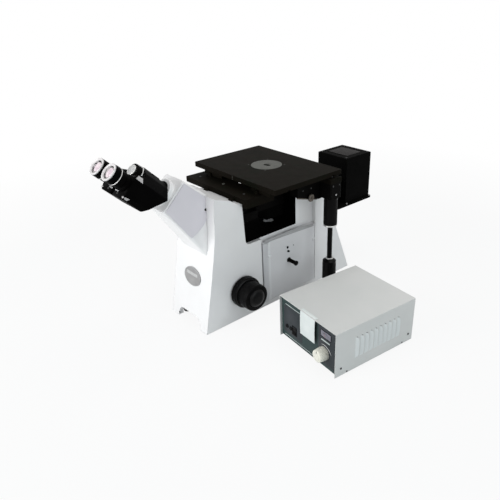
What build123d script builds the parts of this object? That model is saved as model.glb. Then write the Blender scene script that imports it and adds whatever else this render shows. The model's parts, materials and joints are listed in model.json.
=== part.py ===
"""An inverted microscope for opaque specimens, with its separate lamp power unit.

Lengths are millimetres. X points to the user's right, Y away from the user and Z up.
The origin is the foot of the objective's optical axis on the table.
"""

from math import atan2, cos, degrees, pi, radians, sin, sqrt, tan
import os

from build123d import *

os.makedirs("parts", exist_ok=True)

# Clearances and helpers shared by every piece
slack = 0.3            # gap between pieces that move past each other
shaft_play = 0.05      # radial play of a shaft in its bore
seat_play = 0.1        # radial play of a piece that is fastened in its seat
overrun = 2.0          # how far a cut runs past the face it opens


def block(x, y, z, mode=Mode.ADD):
    """A box given by its low and high X, Y and Z."""
    with Locations(tuple((low + high) / 2 for low, high in (x, y, z))):
        Box(x[1] - x[0], y[1] - y[0], z[1] - z[0], mode=mode)


def rod(plane, radius, low, high, mode=Mode.ADD):
    """A cylinder round the normal of a plane, from low to high along it."""
    with Locations(plane.offset((low + high) / 2).location):
        Cylinder(radius, high - low, mode=mode)


def save(built, name):
    """Label a finished piece and write it."""
    built.part.label = name
    export_step(built.part, f"parts/{name}.step")


# Driving sizes of the stand
stand_half = 77.0          # half the width of the casting
side_cover_deep = 10.0     # depth of the recesses that the side covers fill
waist_half = stand_half - side_cover_deep
wall = 9.0                 # thickness of the casting's walls
rim_z = 1.0                # the casting's rim hangs just clear of the table
toe_y = -272.0             # front of the foot
knee_y, knee_z = -235.0, 188.0
brow_y, brow_z = -226.5, 242.0
crown_y, crown_z = -221.0, 338.0
nape_y, nape_z = -175.0, 322.0
crest_y = -158.0           # front of the crest that carries the stage
stage_seat_z = 309.0       # top of the casting under the stage
bay_top_y = -144.0         # the bay's front wall, at its top and at its floor
bay_floor_y = -138.0
bay_floor_z = 198.0
bay_back_y = 37.0
bay_round = 13.0           # rounding of the bay's lower front corner
heel_y = 243.0             # rear of the foot
back_slope_share = 0.4     # how far the back leans forward for each length it rises


def back_y(z):
    """Y of the casting's leaning back at a height."""
    return heel_y - back_slope_share * z


def front_y(z):
    """Y of the casting's front face between its toe and its knee."""
    return toe_y + (knee_y - toe_y) * (z - rim_z) / (knee_z - rim_z)


# Underside of the stand
foot_height = 8.0
foot_radius = 12.0
plate_thick = 4.0
plate_top = foot_height + plate_thick
ledge_thick = 8.0          # flange that the base plate is screwed to
ledge_width = 9.0
plate_front_y = -215.0
plate_back_y = 222.0
plate_half = waist_half - ledge_thick
toe_pocket_back_y = -223.0
toe_pocket_z = 34.0
toe_wall = 14.0
front_foot_inset, rear_foot_inset = 23.0, 15.0
front_foot_x, front_foot_y = stand_half - front_foot_inset, -241.0
rear_foot_x, rear_foot_y = plate_half - rear_foot_inset, 200.0
boss_radius = 13.5
arch_half = 48.0
arch_z = 28.0
arch_round = 20.0
cavity_floor = plate_top + ledge_thick

# Side covers
cover_front_y, cover_back_y = -84.0, 100.0
cover_low_z, cover_top_z = 13.0, 185.0
cover_groove = 6.0

# Head axis: it leaves the stand upwards and towards the user
head_y, head_z = -297.5, 353.5
head_tilt = 45.0
head = Plane(
    origin=(0, head_y, head_z),
    x_dir=(1, 0, 0),
    z_dir=(0, -cos(radians(head_tilt)), sin(radians(head_tilt))),
)
beam_hole = 7.5            # bore that the image beam takes through the bay's corner
beam_bore = 15.0           # bore through the front wall
beam_wide_end = 180.0      # how far back from the head's face the wide bore runs
beam_narrow_end = 290.0    # the same of the narrow bore
mirror_z = head_z + head_y * tan(radians(head_tilt))   # where the two axes meet

# Focus shafts, beam selector and lamp axis
focus_y, focus_z = -155.0, 80.0
coarse_shaft_radius = 4.5
fine_shaft_radius = 2.5
focus_boss_radius = 30.0
focus_boss_proud = 2.5
selector_y, selector_z = 2.0, 108.0
selector_radius = 5.0
lamp_axis_z = 227.0
lamp_tube_radius = 25.0

# Nosepiece arm window in the bay's front wall
arm_low_z, arm_high_z = 240.0, 262.0
guide_thick, arm_thick = 12.0, 11.7
arm_out_x = waist_half - wall - guide_thick - slack
arm_in_x = arm_out_x - arm_thick
focus_down, focus_up = 8.0, 6.0
window_gap = 3.0

# Stage lugs
lug_x, lug_half, lug_drop, lug_deep = 50.0, 4.5, 11.0, 8.0

# Casting of the stand: a hollow shell that is open below
with BuildPart() as stand_casting:
    with BuildSketch(Plane.YZ) as outline:
        with BuildLine():
            Polyline(
                (toe_y, rim_z),
                (knee_y, knee_z),
                (brow_y, brow_z),
                (crown_y, crown_z),
                (nape_y, nape_z),
                (crest_y, stage_seat_z),
                (bay_top_y, stage_seat_z),
                (bay_floor_y, bay_floor_z),
                (bay_back_y, bay_floor_z),
                (bay_back_y, stage_seat_z),
                (back_y(stage_seat_z), stage_seat_z),
                (back_y(rim_z), rim_z),
                close=True,
            )
        make_face()
        fillet(outline.vertices().sort_by_distance((bay_floor_y, bay_floor_z))[0], bay_round)
    extrude(amount=stand_half, both=True)
    # hollow, from the flange above the base plate to just under the outer skin
    with BuildSketch(Plane.YZ) as hollow:
        with BuildLine():
            Polyline(
                (toe_pocket_back_y + wall, cavity_floor),
                (toe_pocket_back_y + wall, toe_pocket_z + wall),
                (front_y(toe_pocket_z) + wall, toe_pocket_z + wall),
                (knee_y + wall, knee_z),
                (brow_y + wall, brow_z),
                (crown_y + wall, stage_seat_z - wall),
                (bay_top_y - wall, stage_seat_z - wall),
                (bay_floor_y - wall, bay_floor_z - wall),
                (bay_back_y + wall, bay_floor_z - wall),
                (bay_back_y + wall, stage_seat_z - wall),
                (back_y(stage_seat_z) - wall, stage_seat_z - wall),
                (back_y(cavity_floor) - wall, cavity_floor),
                close=True,
            )
        make_face()
        corner = hollow.vertices().sort_by_distance((bay_floor_y - wall, bay_floor_z - wall))[0]
        fillet(corner, bay_round + wall)
    extrude(amount=waist_half - wall, both=True, mode=Mode.SUBTRACT)
    # side recesses for the covers, which run up beside the bay
    for side in (1, -1):
        block(
            sorted((side * waist_half, side * (stand_half + overrun))),
            (cover_front_y - cover_groove, cover_back_y),
            (cover_low_z - slack, stage_seat_z + overrun),
            mode=Mode.SUBTRACT,
        )
    # base plate rebate, its flange opening and the pocket behind the front arch
    block((-plate_half, plate_half), (plate_front_y, plate_back_y), (0, plate_top), mode=Mode.SUBTRACT)
    block(
        (ledge_width - plate_half, plate_half - ledge_width),
        (plate_front_y + ledge_width, plate_back_y - ledge_width),
        (0, cavity_floor + overrun),
        mode=Mode.SUBTRACT,
    )
    block(
        (wall - stand_half, stand_half - wall),
        (toe_y + toe_wall, toe_pocket_back_y),
        (0, toe_pocket_z),
        mode=Mode.SUBTRACT,
    )
    for side in (1, -1):
        rod(
            Plane((side * front_foot_x, front_foot_y, 0)),
            boss_radius,
            foot_height,
            toe_pocket_z + overrun,
        )
    with BuildSketch(Plane.XZ.offset(-toe_y)):
        RectangleRounded(2 * arch_half, 2 * arch_z, arch_round)
    extrude(amount=-2 * toe_wall, mode=Mode.SUBTRACT)
    # bosses and bores of the focus shafts
    for side in (1, -1):
        rod(
            Plane((0, focus_y, focus_z), z_dir=(side, 0, 0)),
            focus_boss_radius,
            stand_half - overrun,
            stand_half + focus_boss_proud,
        )
    rod(
        Plane((0, focus_y, focus_z), z_dir=(1, 0, 0)),
        coarse_shaft_radius + shaft_play,
        -stand_half - 2 * focus_boss_proud,
        stand_half + 2 * focus_boss_proud,
        mode=Mode.SUBTRACT,
    )
    # image beam: a wide bore through the front wall, a narrow one through the bay's corner
    rod(head, beam_bore, -beam_wide_end, -overrun, mode=Mode.SUBTRACT)
    rod(head, beam_hole, -beam_narrow_end, -beam_wide_end, mode=Mode.SUBTRACT)
    # selector rod bore, lamp tube bore and the window of the nosepiece arm
    rod(
        Plane((0, selector_y, selector_z), z_dir=(1, 0, 0)),
        selector_radius + shaft_play,
        waist_half - 2 * wall,
        stand_half,
        mode=Mode.SUBTRACT,
    )
    rod(
        Plane((0, 0, lamp_axis_z), z_dir=(0, 1, 0)),
        lamp_tube_radius + seat_play,
        bay_back_y - overrun,
        heel_y,
        mode=Mode.SUBTRACT,
    )
    block(
        (arm_in_x - window_gap, arm_out_x + window_gap),
        (bay_top_y - 2 * wall, bay_floor_y + overrun),
        (arm_low_z - focus_down - window_gap, arm_high_z + focus_up + window_gap),
        mode=Mode.SUBTRACT,
    )
    for x in (-lug_x, lug_x):
        block(
            (x - lug_half - slack, x + lug_half + slack),
            (crest_y - overrun, crest_y - overrun + lug_deep + slack),
            (stage_seat_z - lug_drop - slack, stage_seat_z + overrun),
            mode=Mode.SUBTRACT,
        )
save(stand_casting, "stand_casting")

# Base plate, screwed up against the flange
with BuildPart() as base_plate:
    block(
        (slack - plate_half, plate_half - slack),
        (plate_front_y + slack, plate_back_y - slack),
        (foot_height, plate_top),
    )
save(base_plate, "base_plate")

# Rubber feet: two under the casting's bosses, two under the base plate
foot_taper = 2.0
feet_at = [
    (side * x, y)
    for x, y in ((front_foot_x, front_foot_y), (rear_foot_x, rear_foot_y))
    for side in (1, -1)
]
with BuildPart() as rubber_feet:
    with Locations(*[(x, y, foot_height / 2) for x, y in feet_at]):
        Cone(foot_radius - foot_taper, foot_radius, foot_height)
save(rubber_feet, "rubber_feet")

# Side covers: shallow lids that fill the casting's side recesses
cover_round = 3.0
cover_top_round = 8.0
cover_sheet = 2.5
strip_wide, strip_proud = 12.0, 1.2
selector_hole = 6.5
catch_y, catch_z = 92.0, 138.0
catch_long, catch_wide = 9.0, 4.0


def side_cover(side):
    """A lid on the right (1) or left (-1) of the stand; only the right one has the rod's hole."""
    with BuildPart() as lid:
        block(
            sorted((side * waist_half, side * stand_half)),
            (cover_front_y, cover_back_y - slack),
            (cover_low_z, cover_top_z),
        )
        outer = lid.faces().sort_by(Axis.X)[-1 if side > 0 else 0]
        top = outer.edges().sort_by(Axis.Z)[-1]
        fillet(top, cover_top_round)
        outer = lid.faces().sort_by(Axis.X)[-1 if side > 0 else 0]
        fillet(outer.edges().filter_by(Axis.Z), cover_round)
        block(
            sorted((side * (waist_half - overrun), side * (stand_half - cover_sheet))),
            (cover_front_y + cover_sheet, cover_back_y - slack - cover_sheet),
            (cover_low_z + cover_sheet, cover_top_z - cover_top_round),
            mode=Mode.SUBTRACT,
        )
        block(
            sorted((side * (stand_half - cover_sheet), side * (stand_half + strip_proud))),
            (cover_front_y + cover_round, cover_front_y + cover_round + strip_wide),
            (cover_low_z, cover_top_z - cover_top_round),
        )
        block(
            sorted((side * (stand_half - strip_proud), side * (stand_half + strip_proud))),
            (catch_y - catch_wide / 2, catch_y + catch_wide / 2),
            (catch_z - catch_long / 2, catch_z + catch_long / 2),
        )
        if side > 0:
            rod(
                Plane((0, selector_y, selector_z), z_dir=(1, 0, 0)),
                selector_hole,
                waist_half - overrun,
                stand_half + overrun,
                mode=Mode.SUBTRACT,
            )
    return lid


for side, name in ((1, "side_cover_right"), (-1, "side_cover_left")):
    save(side_cover(side), name)

# Oval plate on the front, bare
oval_wide, oval_tall, oval_thick, oval_z = 34.0, 23.5, 2.0, 125.0
front_lean = (knee_y - toe_y) / (knee_z - rim_z)
front_plane = Plane(
    origin=(0, front_y(oval_z), oval_z),
    x_dir=(1, 0, 0),
    z_dir=(0, -1, front_lean),
)
with BuildPart() as front_plate:
    with BuildSketch(front_plane):
        Ellipse(oval_wide, oval_tall)
    extrude(amount=oval_thick)
    rim_edges = front_plate.faces().sort_by(Axis.Y)[0].edges()
    fillet(rim_edges, oval_thick / 3)
save(front_plate, "front_plate")

# Black sheet that lines the bay round the nosepiece
liner_thick = 2.0
with BuildPart() as bay_liner:
    with BuildSketch(Plane.YZ) as liner_side:
        with BuildLine():
            Polyline(
                (bay_top_y, stage_seat_z),
                (bay_floor_y, bay_floor_z),
                (bay_back_y, bay_floor_z),
                (bay_back_y, stage_seat_z),
                (bay_back_y - liner_thick, stage_seat_z),
                (bay_back_y - liner_thick, bay_floor_z + liner_thick),
                (bay_floor_y + liner_thick, bay_floor_z + liner_thick),
                (bay_top_y + liner_thick, stage_seat_z),
                close=True,
            )
        make_face()
        outer = liner_side.vertices().sort_by_distance((bay_floor_y, bay_floor_z))[0]
        fillet(outer, bay_round)
        inner_at = (bay_floor_y + liner_thick, bay_floor_z + liner_thick)
        inner = liner_side.vertices().sort_by_distance(inner_at)[0]
        fillet(inner, bay_round - liner_thick)
    extrude(amount=waist_half, both=True)
    block(
        (arm_in_x - window_gap, arm_out_x + window_gap),
        (bay_top_y - overrun, bay_floor_y + bay_round),
        (arm_low_z - focus_down - window_gap, arm_high_z + focus_up + window_gap),
        mode=Mode.SUBTRACT,
    )
    rod(
        Plane((0, 0, lamp_axis_z), z_dir=(0, 1, 0)),
        lamp_tube_radius + seat_play,
        0,
        bay_back_y + overrun,
        mode=Mode.SUBTRACT,
    )
    rod(Plane.XY, beam_bore, bay_floor_z - overrun, bay_floor_z + 2 * liner_thick, mode=Mode.SUBTRACT)
save(bay_liner, "bay_liner")

# Head mount: a tapered block that grows out of the stand along the head axis
mount_front = (36.0, -40.0, 42.0)      # half width, low and high at its front face
mount_root = (53.0, -71.0, 58.0)       # the same where it would end inside the stand
mount_long = 170.0
mount_round = 9.0
head_bore = 20.0
with BuildPart() as stand_block:
    with BuildSketch(Plane.YZ):
        with BuildLine():
            Polyline(
                (toe_y, rim_z),
                (knee_y, knee_z),
                (brow_y, brow_z),
                (crown_y, crown_z),
                (nape_y, nape_z),
                (crest_y, stage_seat_z),
                (bay_back_y, stage_seat_z),
                (bay_back_y, rim_z),
                close=True,
            )
        make_face()
    extrude(amount=stand_half, both=True)
with BuildPart() as head_mount:
    for along, (half, low, high) in ((0, mount_front), (-mount_long, mount_root)):
        with BuildSketch(head.offset(along)):
            with Locations((0, (low + high) / 2)):
                RectangleRounded(2 * half, high - low, mount_round)
    loft()
    add(stand_block.part, mode=Mode.SUBTRACT)
    rod(head, head_bore, -mount_long, overrun, mode=Mode.SUBTRACT)
save(head_mount, "head_mount")

# Flat covers on the sides of the head mount
cover_thick = 2.5
cover_margin = 4.0
mount_cover_long = 94.0


def mount_side(side):
    """The plane of the mount's right (1) or left (-1) face; its x runs back into the stand."""
    lean = degrees(atan2(mount_root[0] - mount_front[0], mount_long))
    start = head.from_local_coords((side * mount_front[0], 0, 0))
    back = (-head.z_dir).rotate(Axis((0, 0, 0), head.y_dir), -side * lean)
    return Plane(origin=start, x_dir=back, z_dir=back.cross(head.y_dir) * side)


def mount_cover(side):
    """A lid that follows the taper of the mount's side and bulges at its rear edge."""
    face = mount_side(side)
    up = 1 if face.y_dir.dot(head.y_dir) > 0 else -1
    front_low, front_high = mount_front[1] + cover_margin, mount_front[2] - cover_margin
    low_grow = (mount_front[1] - mount_root[1]) / mount_long * mount_cover_long
    high_grow = (mount_root[2] - mount_front[2]) / mount_long * mount_cover_long
    back_low, back_high = front_low - low_grow, front_high + high_grow - cover_margin
    with BuildPart() as lid:
        with BuildSketch(face):
            with BuildLine():
                bulge = (mount_cover_long + 2 * cover_margin, 0)
                ThreePointArc(
                    (mount_cover_long, up * back_low),
                    bulge,
                    (mount_cover_long - 2 * cover_margin, up * back_high),
                )
                Polyline(
                    (mount_cover_long - 2 * cover_margin, up * back_high),
                    (cover_margin, up * front_high),
                    (cover_margin, up * front_low),
                    (mount_cover_long, up * back_low),
                )
            make_face()
        extrude(amount=cover_thick)
        add(stand_block.part, mode=Mode.SUBTRACT)
    return lid


for side, name in ((1, "mount_cover_right"), (-1, "mount_cover_left")):
    save(mount_cover(side), name)

# Round collar on the mount's face, which the viewing head sits in
collar_radius, collar_bore, collar_long = 30.0, 20.0, 13.0
collar_round = 2.0
with BuildPart() as head_collar:
    rod(head, collar_radius, 0, collar_long)
    rims = head_collar.faces().sort_by(Axis(head.origin, head.z_dir))[-1].edges()
    fillet(rims, collar_round)
    rod(head, collar_bore, -overrun, collar_long + overrun, mode=Mode.SUBTRACT)
save(head_collar, "head_collar")

# Viewing head: two prism boxes swing on one barrel, so that the eyepieces keep their height
base_radius, base_long = 22.0, 2.0
barrel_radius, barrel_bore = 17.0, 12.0
barrel_end = 95.0
cap_radius, cap_long, cap_round = 12.5, 3.0, 1.0
with BuildPart() as head_barrel:
    rod(head, base_radius, collar_long, collar_long + base_long)
    rod(head, barrel_radius, collar_long + base_long, barrel_end)
    rod(head, barrel_bore, collar_long - overrun, barrel_end - 2 * wall, mode=Mode.SUBTRACT)
save(head_barrel, "head_barrel")

with BuildPart() as hinge_cap:
    rod(head, cap_radius, barrel_end, barrel_end + cap_long)
    rims = hinge_cap.faces().sort_by(Axis(head.origin, head.z_dir))[-1].edges()
    fillet(rims, cap_round)
save(hinge_cap, "hinge_cap")

# Eyepiece tubes, seen from the head axis: right one at +x, both below the axis
eye_x, eye_drop = 26.5, 31.5
tube_bore = 11.6           # the usual 23.2 mm eyepiece tube
wing_back, wing_front = 16.0, 107.0
wing_inner = 5.0
wing_out, wing_low = 50.0, -64.0
wing_side_top, wing_side_low = -14.0, -52.0
wing_shoulder = 27.0
sleeve_radius = 20.0
sleeve_end = 80.0          # beyond it the barrel stands free between the boxes
sleeve_clear = 23.0
sleeve_from_top = 32.0     # the sleeve starts this many degrees from the top
ring_deep = 2.4            # thickness of the ring that holds a box on the barrel
ring_long, ring_gap = 18.0, 6.0
ring_first = 34.0
wing_round = 7.0
slant_long, slant_high = 36.0, 50.0
neck_radius, neck_end = 17.0, 120.0
diopter_radius, diopter_end = 19.0, 128.0
tube_deep = 30.0


def eye_plane(side):
    """The right (1) or left (-1) eyepiece tube's plane, with its origin level with the head's."""
    return Plane(
        origin=head.from_local_coords((side * eye_x, -eye_drop, 0)),
        x_dir=(1, 0, 0),
        z_dir=head.z_dir,
    )


def prism_box(side):
    """One swinging prism box with its ring on the barrel and its eyepiece tube."""
    ring_low = ring_first if side > 0 else ring_first + ring_long + ring_gap
    other_low = ring_first + ring_long + ring_gap if side > 0 else ring_first
    top = radians(sleeve_from_top)
    with BuildPart() as box:
        with BuildSketch(head.offset(wing_back)) as section:
            with BuildLine():
                Polyline(
                    (0, 0),
                    (side * sleeve_radius * sin(top), sleeve_radius * cos(top)),
                    (side * wing_shoulder, sleeve_radius * cos(top) / 2),
                    (side * wing_out, wing_side_top),
                    (side * wing_out, wing_side_low),
                    (side * (wing_out - wing_round), wing_low),
                    (side * wing_inner, wing_low),
                    (side * wing_inner, -sleeve_radius),
                    close=True,
                )
            make_face()
            rounded = [
                (side * wing_shoulder, sleeve_radius * cos(top) / 2),
                (side * wing_out, wing_side_top),
                (side * wing_out, wing_side_low),
                (side * (wing_out - wing_round), wing_low),
            ]
            for at in rounded:
                fillet(section.vertices().sort_by_distance(at)[0], wing_round)
        extrude(amount=wing_front - wing_back)
        rod(head, barrel_radius + slack + ring_deep, 0, wing_front + overrun, mode=Mode.SUBTRACT)
        rod(head, sleeve_clear, sleeve_end, wing_front + overrun, mode=Mode.SUBTRACT)
        # the lower rear corner slants to clear the mount
        with BuildSketch(Plane(head.origin, x_dir=head.z_dir, z_dir=(1, 0, 0))):
            with BuildLine():
                Polyline(
                    (wing_back - overrun, wing_low + slant_high),
                    (wing_back, wing_low + slant_high),
                    (wing_back + slant_long, wing_low),
                    (wing_back + slant_long, wing_low - overrun),
                    (wing_back - overrun, wing_low - overrun),
                    close=True,
                )
            make_face()
        extrude(amount=wing_out + overrun, both=True, mode=Mode.SUBTRACT)
        rod(head, barrel_radius + slack + ring_deep, ring_low, ring_low + ring_long)
        rod(eye_plane(side), neck_radius, wing_front - overrun, neck_end)
        rod(head, barrel_radius + shaft_play, 0, wing_front + overrun, mode=Mode.SUBTRACT)
        rod(
            head,
            barrel_radius + ring_deep + 2 * slack,
            other_low - slack,
            other_low + ring_long + slack,
            mode=Mode.SUBTRACT,
        )
        rod(
            eye_plane(side),
            tube_bore + shaft_play,
            neck_end - tube_deep,
            neck_end + overrun,
            mode=Mode.SUBTRACT,
        )
    return box


for side, name in ((1, "prism_box_right"), (-1, "prism_box_left")):
    save(prism_box(side), name)

# Diopter ring on the left tube, with grip grooves round its rim
knurl_count, knurl_radius = 24, 0.8
with BuildPart() as diopter_ring:
    rod(eye_plane(-1), diopter_radius, neck_end + slack, diopter_end)
    with BuildSketch(eye_plane(-1).offset(neck_end + slack)):
        with PolarLocations(diopter_radius + knurl_radius / 2, knurl_count):
            Circle(knurl_radius)
    extrude(amount=diopter_end - neck_end, mode=Mode.SUBTRACT)
    rod(
        eye_plane(-1),
        tube_bore + shaft_play,
        neck_end,
        diopter_end + overrun,
        mode=Mode.SUBTRACT,
    )
save(diopter_ring, "diopter_ring")

# Eyepieces: a sleeve down the tube, a black barrel and a pale rim round the eye lens
eye_radius, eye_end = 19.8, 152.0
eye_seat = {1: neck_end, -1: diopter_end}
eye_waist, eye_waist_end = 18.4, 135.0
eye_shell = 1.6
sleeve_deep = 26.0
lens_bore = 9.0
rim_deep, rim_round = 3.0, 1.0


def eyepiece(side):
    """One eyepiece; the right one sits on the tube, the left one on the diopter ring."""
    seat = eye_seat[side] + slack
    with BuildPart() as piece:
        rod(eye_plane(side), eye_waist, seat, eye_waist_end)
        rod(eye_plane(side), eye_radius, eye_waist_end, eye_end)
        rims = piece.faces().sort_by(Axis(head.origin, head.z_dir))[-1].edges()
        fillet(rims, rim_round)
        rod(eye_plane(side), tube_bore, neck_end - sleeve_deep, seat)
        rod(eye_plane(side), lens_bore, 0, eye_end + overrun, mode=Mode.SUBTRACT)
        rod(
            eye_plane(side),
            eye_radius - 2 * eye_shell,
            eye_end - rim_deep,
            eye_end + overrun,
            mode=Mode.SUBTRACT,
        )
        rod(eye_plane(side), lens_bore + eye_shell, eye_end - 2 * rim_deep, eye_end - rim_deep)
    return piece


for side, name in ((1, "eyepiece_right"), (-1, "eyepiece_left")):
    save(eyepiece(side), name)

# Focus shafts and knobs, the same on both sides of the stand
tooth = 1.0                # gear module: pitch diameter over tooth count
pinion_teeth = 12
pinion_radius = tooth * pinion_teeth / 2
tooth_half_share = 0.19    # half a tooth's thickness at the pitch line, over the pitch
tooth_rise, tooth_root = 0.8, 1.2    # tooth height above and below the pitch line
flank_share = 0.36         # how fast a tooth widens towards its root
knob_gap, coarse_wide, fine_wide = 1.0, 16.5, 33.0
coarse_low = stand_half + focus_boss_proud + knob_gap
coarse_high = coarse_low + coarse_wide
coarse_radius = 40.0
fine_low = coarse_high + knob_gap
fine_high = fine_low + fine_wide
fine_radius = 34.0
dish_radius, dish_deep = 24.0, 2.5
knob_round = 2.0
grip_count, grip_deep = 30, 1.2
shaft_plane = Plane((0, focus_y, focus_z), x_dir=(0, 1, 0), z_dir=(1, 0, 0))
pitch = pi * tooth


def tooth_points():
    """Half the width of one tooth at its tip and at its root."""
    tip = tooth_half_share * pitch - flank_share * tooth_rise / 2
    root = tooth_half_share * pitch + flank_share * tooth_root / 2
    return tip, root


with BuildPart() as coarse_shaft:
    rod(shaft_plane, coarse_shaft_radius, -coarse_high, coarse_high)
    tip_half, root_half = tooth_points()
    with BuildSketch(shaft_plane.offset(arm_in_x)):
        Circle(pinion_radius - tooth_root)
        with PolarLocations(0, pinion_teeth):
            with BuildLine():
                Polyline(
                    (0, root_half),
                    (pinion_radius - tooth_root, root_half),
                    (pinion_radius + tooth_rise, tip_half),
                    (pinion_radius + tooth_rise, -tip_half),
                    (pinion_radius - tooth_root, -root_half),
                    (0, -root_half),
                    close=True,
                )
            make_face()
    extrude(amount=arm_out_x - arm_in_x)
    rod(
        shaft_plane,
        fine_shaft_radius + shaft_play,
        -coarse_high - overrun,
        coarse_high + overrun,
        mode=Mode.SUBTRACT,
    )
save(coarse_shaft, "coarse_shaft")

with BuildPart() as fine_shaft:
    rod(shaft_plane, fine_shaft_radius, -fine_high + dish_deep * 2, fine_high - dish_deep * 2)
save(fine_shaft, "fine_shaft")


def focus_face(side):
    """The focus axis seen from the right (1) or left (-1) end."""
    return Plane((0, focus_y, focus_z), x_dir=(0, 1, 0), z_dir=(side, 0, 0))


def coarse_wheel(side):
    """The large knob, bored through for its shaft, with grip grooves round its rim."""
    face = focus_face(side)
    with BuildPart() as knob:
        rod(face, coarse_radius, coarse_low, coarse_high)
        fillet(knob.edges().filter_by(GeomType.CIRCLE), knob_round)
        with BuildSketch(face.offset(coarse_low)):
            with PolarLocations(coarse_radius + grip_deep / 2, grip_count):
                Circle(grip_deep)
        extrude(amount=coarse_high - coarse_low, mode=Mode.SUBTRACT)
        rod(face, coarse_shaft_radius, 0, coarse_high + overrun, mode=Mode.SUBTRACT)
    return knob


def fine_wheel(side):
    """The outer knob, with a dished face and a blind bore for its shaft."""
    face = focus_face(side)
    with BuildPart() as knob:
        rod(face, fine_radius, fine_low, fine_high)
        fillet(knob.edges().filter_by(GeomType.CIRCLE), knob_round)
        rod(face, fine_shaft_radius, 0, fine_high - 2 * dish_deep, mode=Mode.SUBTRACT)
        with Locations(face.offset(fine_high).location):
            Cone(dish_radius - 2 * dish_deep, dish_radius, dish_deep, mode=Mode.SUBTRACT)
    return knob


for side, place in ((1, "right"), (-1, "left")):
    save(coarse_wheel(side), f"coarse_knob_{place}")
    save(fine_wheel(side), f"fine_knob_{place}")

# Focus guide: a rail bolted to the inside of the front pillar
carriage_front_y, carriage_back_y = -195.0, -168.0
carriage_low_z, carriage_high_z = 170.0, 268.0
guide_low_z, guide_high_z = 152.0, 290.0
guide_half = 6.0
guide_tongue = 4.0
guide_mid_y = (carriage_front_y + carriage_back_y) / 2
with BuildPart() as focus_guide:
    block(
        (arm_out_x + slack, waist_half - wall),
        (carriage_front_y, carriage_back_y),
        (guide_low_z, guide_high_z),
    )
    block(
        (arm_out_x - guide_tongue, arm_out_x + slack),
        (guide_mid_y - guide_half, guide_mid_y + guide_half),
        (guide_low_z, guide_high_z),
    )
save(focus_guide, "focus_guide")

# Focus carriage: it slides up the guide on its rack and carries the nosepiece on its arm
rack_y = focus_y - pinion_radius
rack_low_z, rack_tooth_count = 56.0, 12
rack_deep = 14.0
arm_end_y = -72.0
bracket_front_y = -118.0
with BuildPart() as focus_carriage:
    with BuildSketch(Plane.YZ.offset(arm_in_x)):
        with BuildLine():
            Polyline(
                (carriage_front_y, carriage_low_z),
                (carriage_front_y, carriage_high_z),
                (carriage_back_y, carriage_high_z),
                (carriage_back_y, arm_high_z),
                (arm_end_y, arm_high_z),
                (arm_end_y, arm_low_z + 2 * slack),
                (bracket_front_y, arm_low_z),
                (carriage_back_y, arm_low_z),
                (carriage_back_y, carriage_low_z),
                (rack_y - tooth_root, carriage_low_z),
                (rack_y - tooth_root, rack_low_z),
                (rack_y - rack_deep, rack_low_z),
                (rack_y - rack_deep, carriage_low_z),
                close=True,
            )
        make_face()
        # rack teeth, set so that a tooth space faces the pinion's tooth at rest
        tip_half, root_half = tooth_points()
        first_z = focus_z + pitch / 2 - pitch * rack_tooth_count / 2
        for index in range(rack_tooth_count):
            z = first_z + pitch * index
            with BuildLine():
                Polyline(
                    (rack_y - tooth_root - tooth, z - root_half),
                    (rack_y - tooth_root, z - root_half),
                    (rack_y + tooth_rise, z - tip_half),
                    (rack_y + tooth_rise, z + tip_half),
                    (rack_y - tooth_root, z + root_half),
                    (rack_y - tooth_root - tooth, z + root_half),
                    close=True,
                )
            make_face()
    extrude(amount=arm_out_x - arm_in_x)
    block(
        (arm_out_x - guide_tongue - slack, arm_out_x + overrun),
        (guide_mid_y - guide_half - slack, guide_mid_y + guide_half + slack),
        (rack_low_z - overrun, carriage_high_z + overrun),
        mode=Mode.SUBTRACT,
    )
save(focus_carriage, "focus_carriage")

# Turret axis: it leans towards the user so that the working objective stands upright
shoulder_z = 297.0         # seat of the working objective
turret_tilt = 15.0
seat_radius = 26.0
turret = Plane(
    origin=(
        0,
        -seat_radius * cos(radians(turret_tilt)),
        shoulder_z - seat_radius * sin(radians(turret_tilt)),
    ),
    x_dir=(1, 0, 0),
    z_dir=(0, -sin(radians(turret_tilt)), cos(radians(turret_tilt))),
)
seat_count = 5
hub_radius = 14.0
cone_radius = 39.0
turret_radius = 44.0
turret_thick = 14.0
pivot_radius, pivot_long = 7.0, 14.0
seat_counterbore, seat_deep = 11.5, 1.5
light_radius = 10.0
turret_grips, turret_grip = 36, 1.0
cone_drop = (cone_radius - seat_radius) * tan(radians(turret_tilt))
hub_rise = (seat_radius - hub_radius) * tan(radians(turret_tilt))


def seat_plane(index):
    """The seat of one objective: 0 is the working one, upright on the optical axis."""
    turn = 360 / seat_count * index
    about = Axis(turret.origin, turret.z_dir)
    return Plane(
        origin=Vertex(0, 0, shoulder_z).rotate(about, turn).center(),
        z_dir=Vector(0, 0, 1).rotate(Axis((0, 0, 0), turret.z_dir), turn),
    )


with BuildPart() as turret_disc:
    with BuildSketch(Plane(turret.origin, x_dir=(1, 0, 0), z_dir=turret.y_dir * -1)) as half:
        with BuildLine():
            Polyline(
                (0, hub_rise),
                (hub_radius, hub_rise),
                (cone_radius, -cone_drop),
                (turret_radius, -cone_drop),
                (turret_radius, -turret_thick + overrun),
                (turret_radius - overrun, -turret_thick),
                (pivot_radius, -turret_thick),
                (pivot_radius, -turret_thick - pivot_long),
                (0, -turret_thick - pivot_long),
                close=True,
            )
        make_face()
    revolve(axis=Axis(turret.origin, turret.z_dir))
    with BuildSketch(turret.offset(-turret_thick)):
        with PolarLocations(turret_radius + turret_grip / 2, turret_grips):
            Circle(turret_grip)
    extrude(amount=turret_thick, mode=Mode.SUBTRACT)
    for index in range(seat_count):
        rod(seat_plane(index), seat_counterbore, -seat_deep, turret_thick, mode=Mode.SUBTRACT)
        rod(seat_plane(index), light_radius, -2 * turret_thick, 0, mode=Mode.SUBTRACT)
save(turret_disc, "turret")

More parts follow.
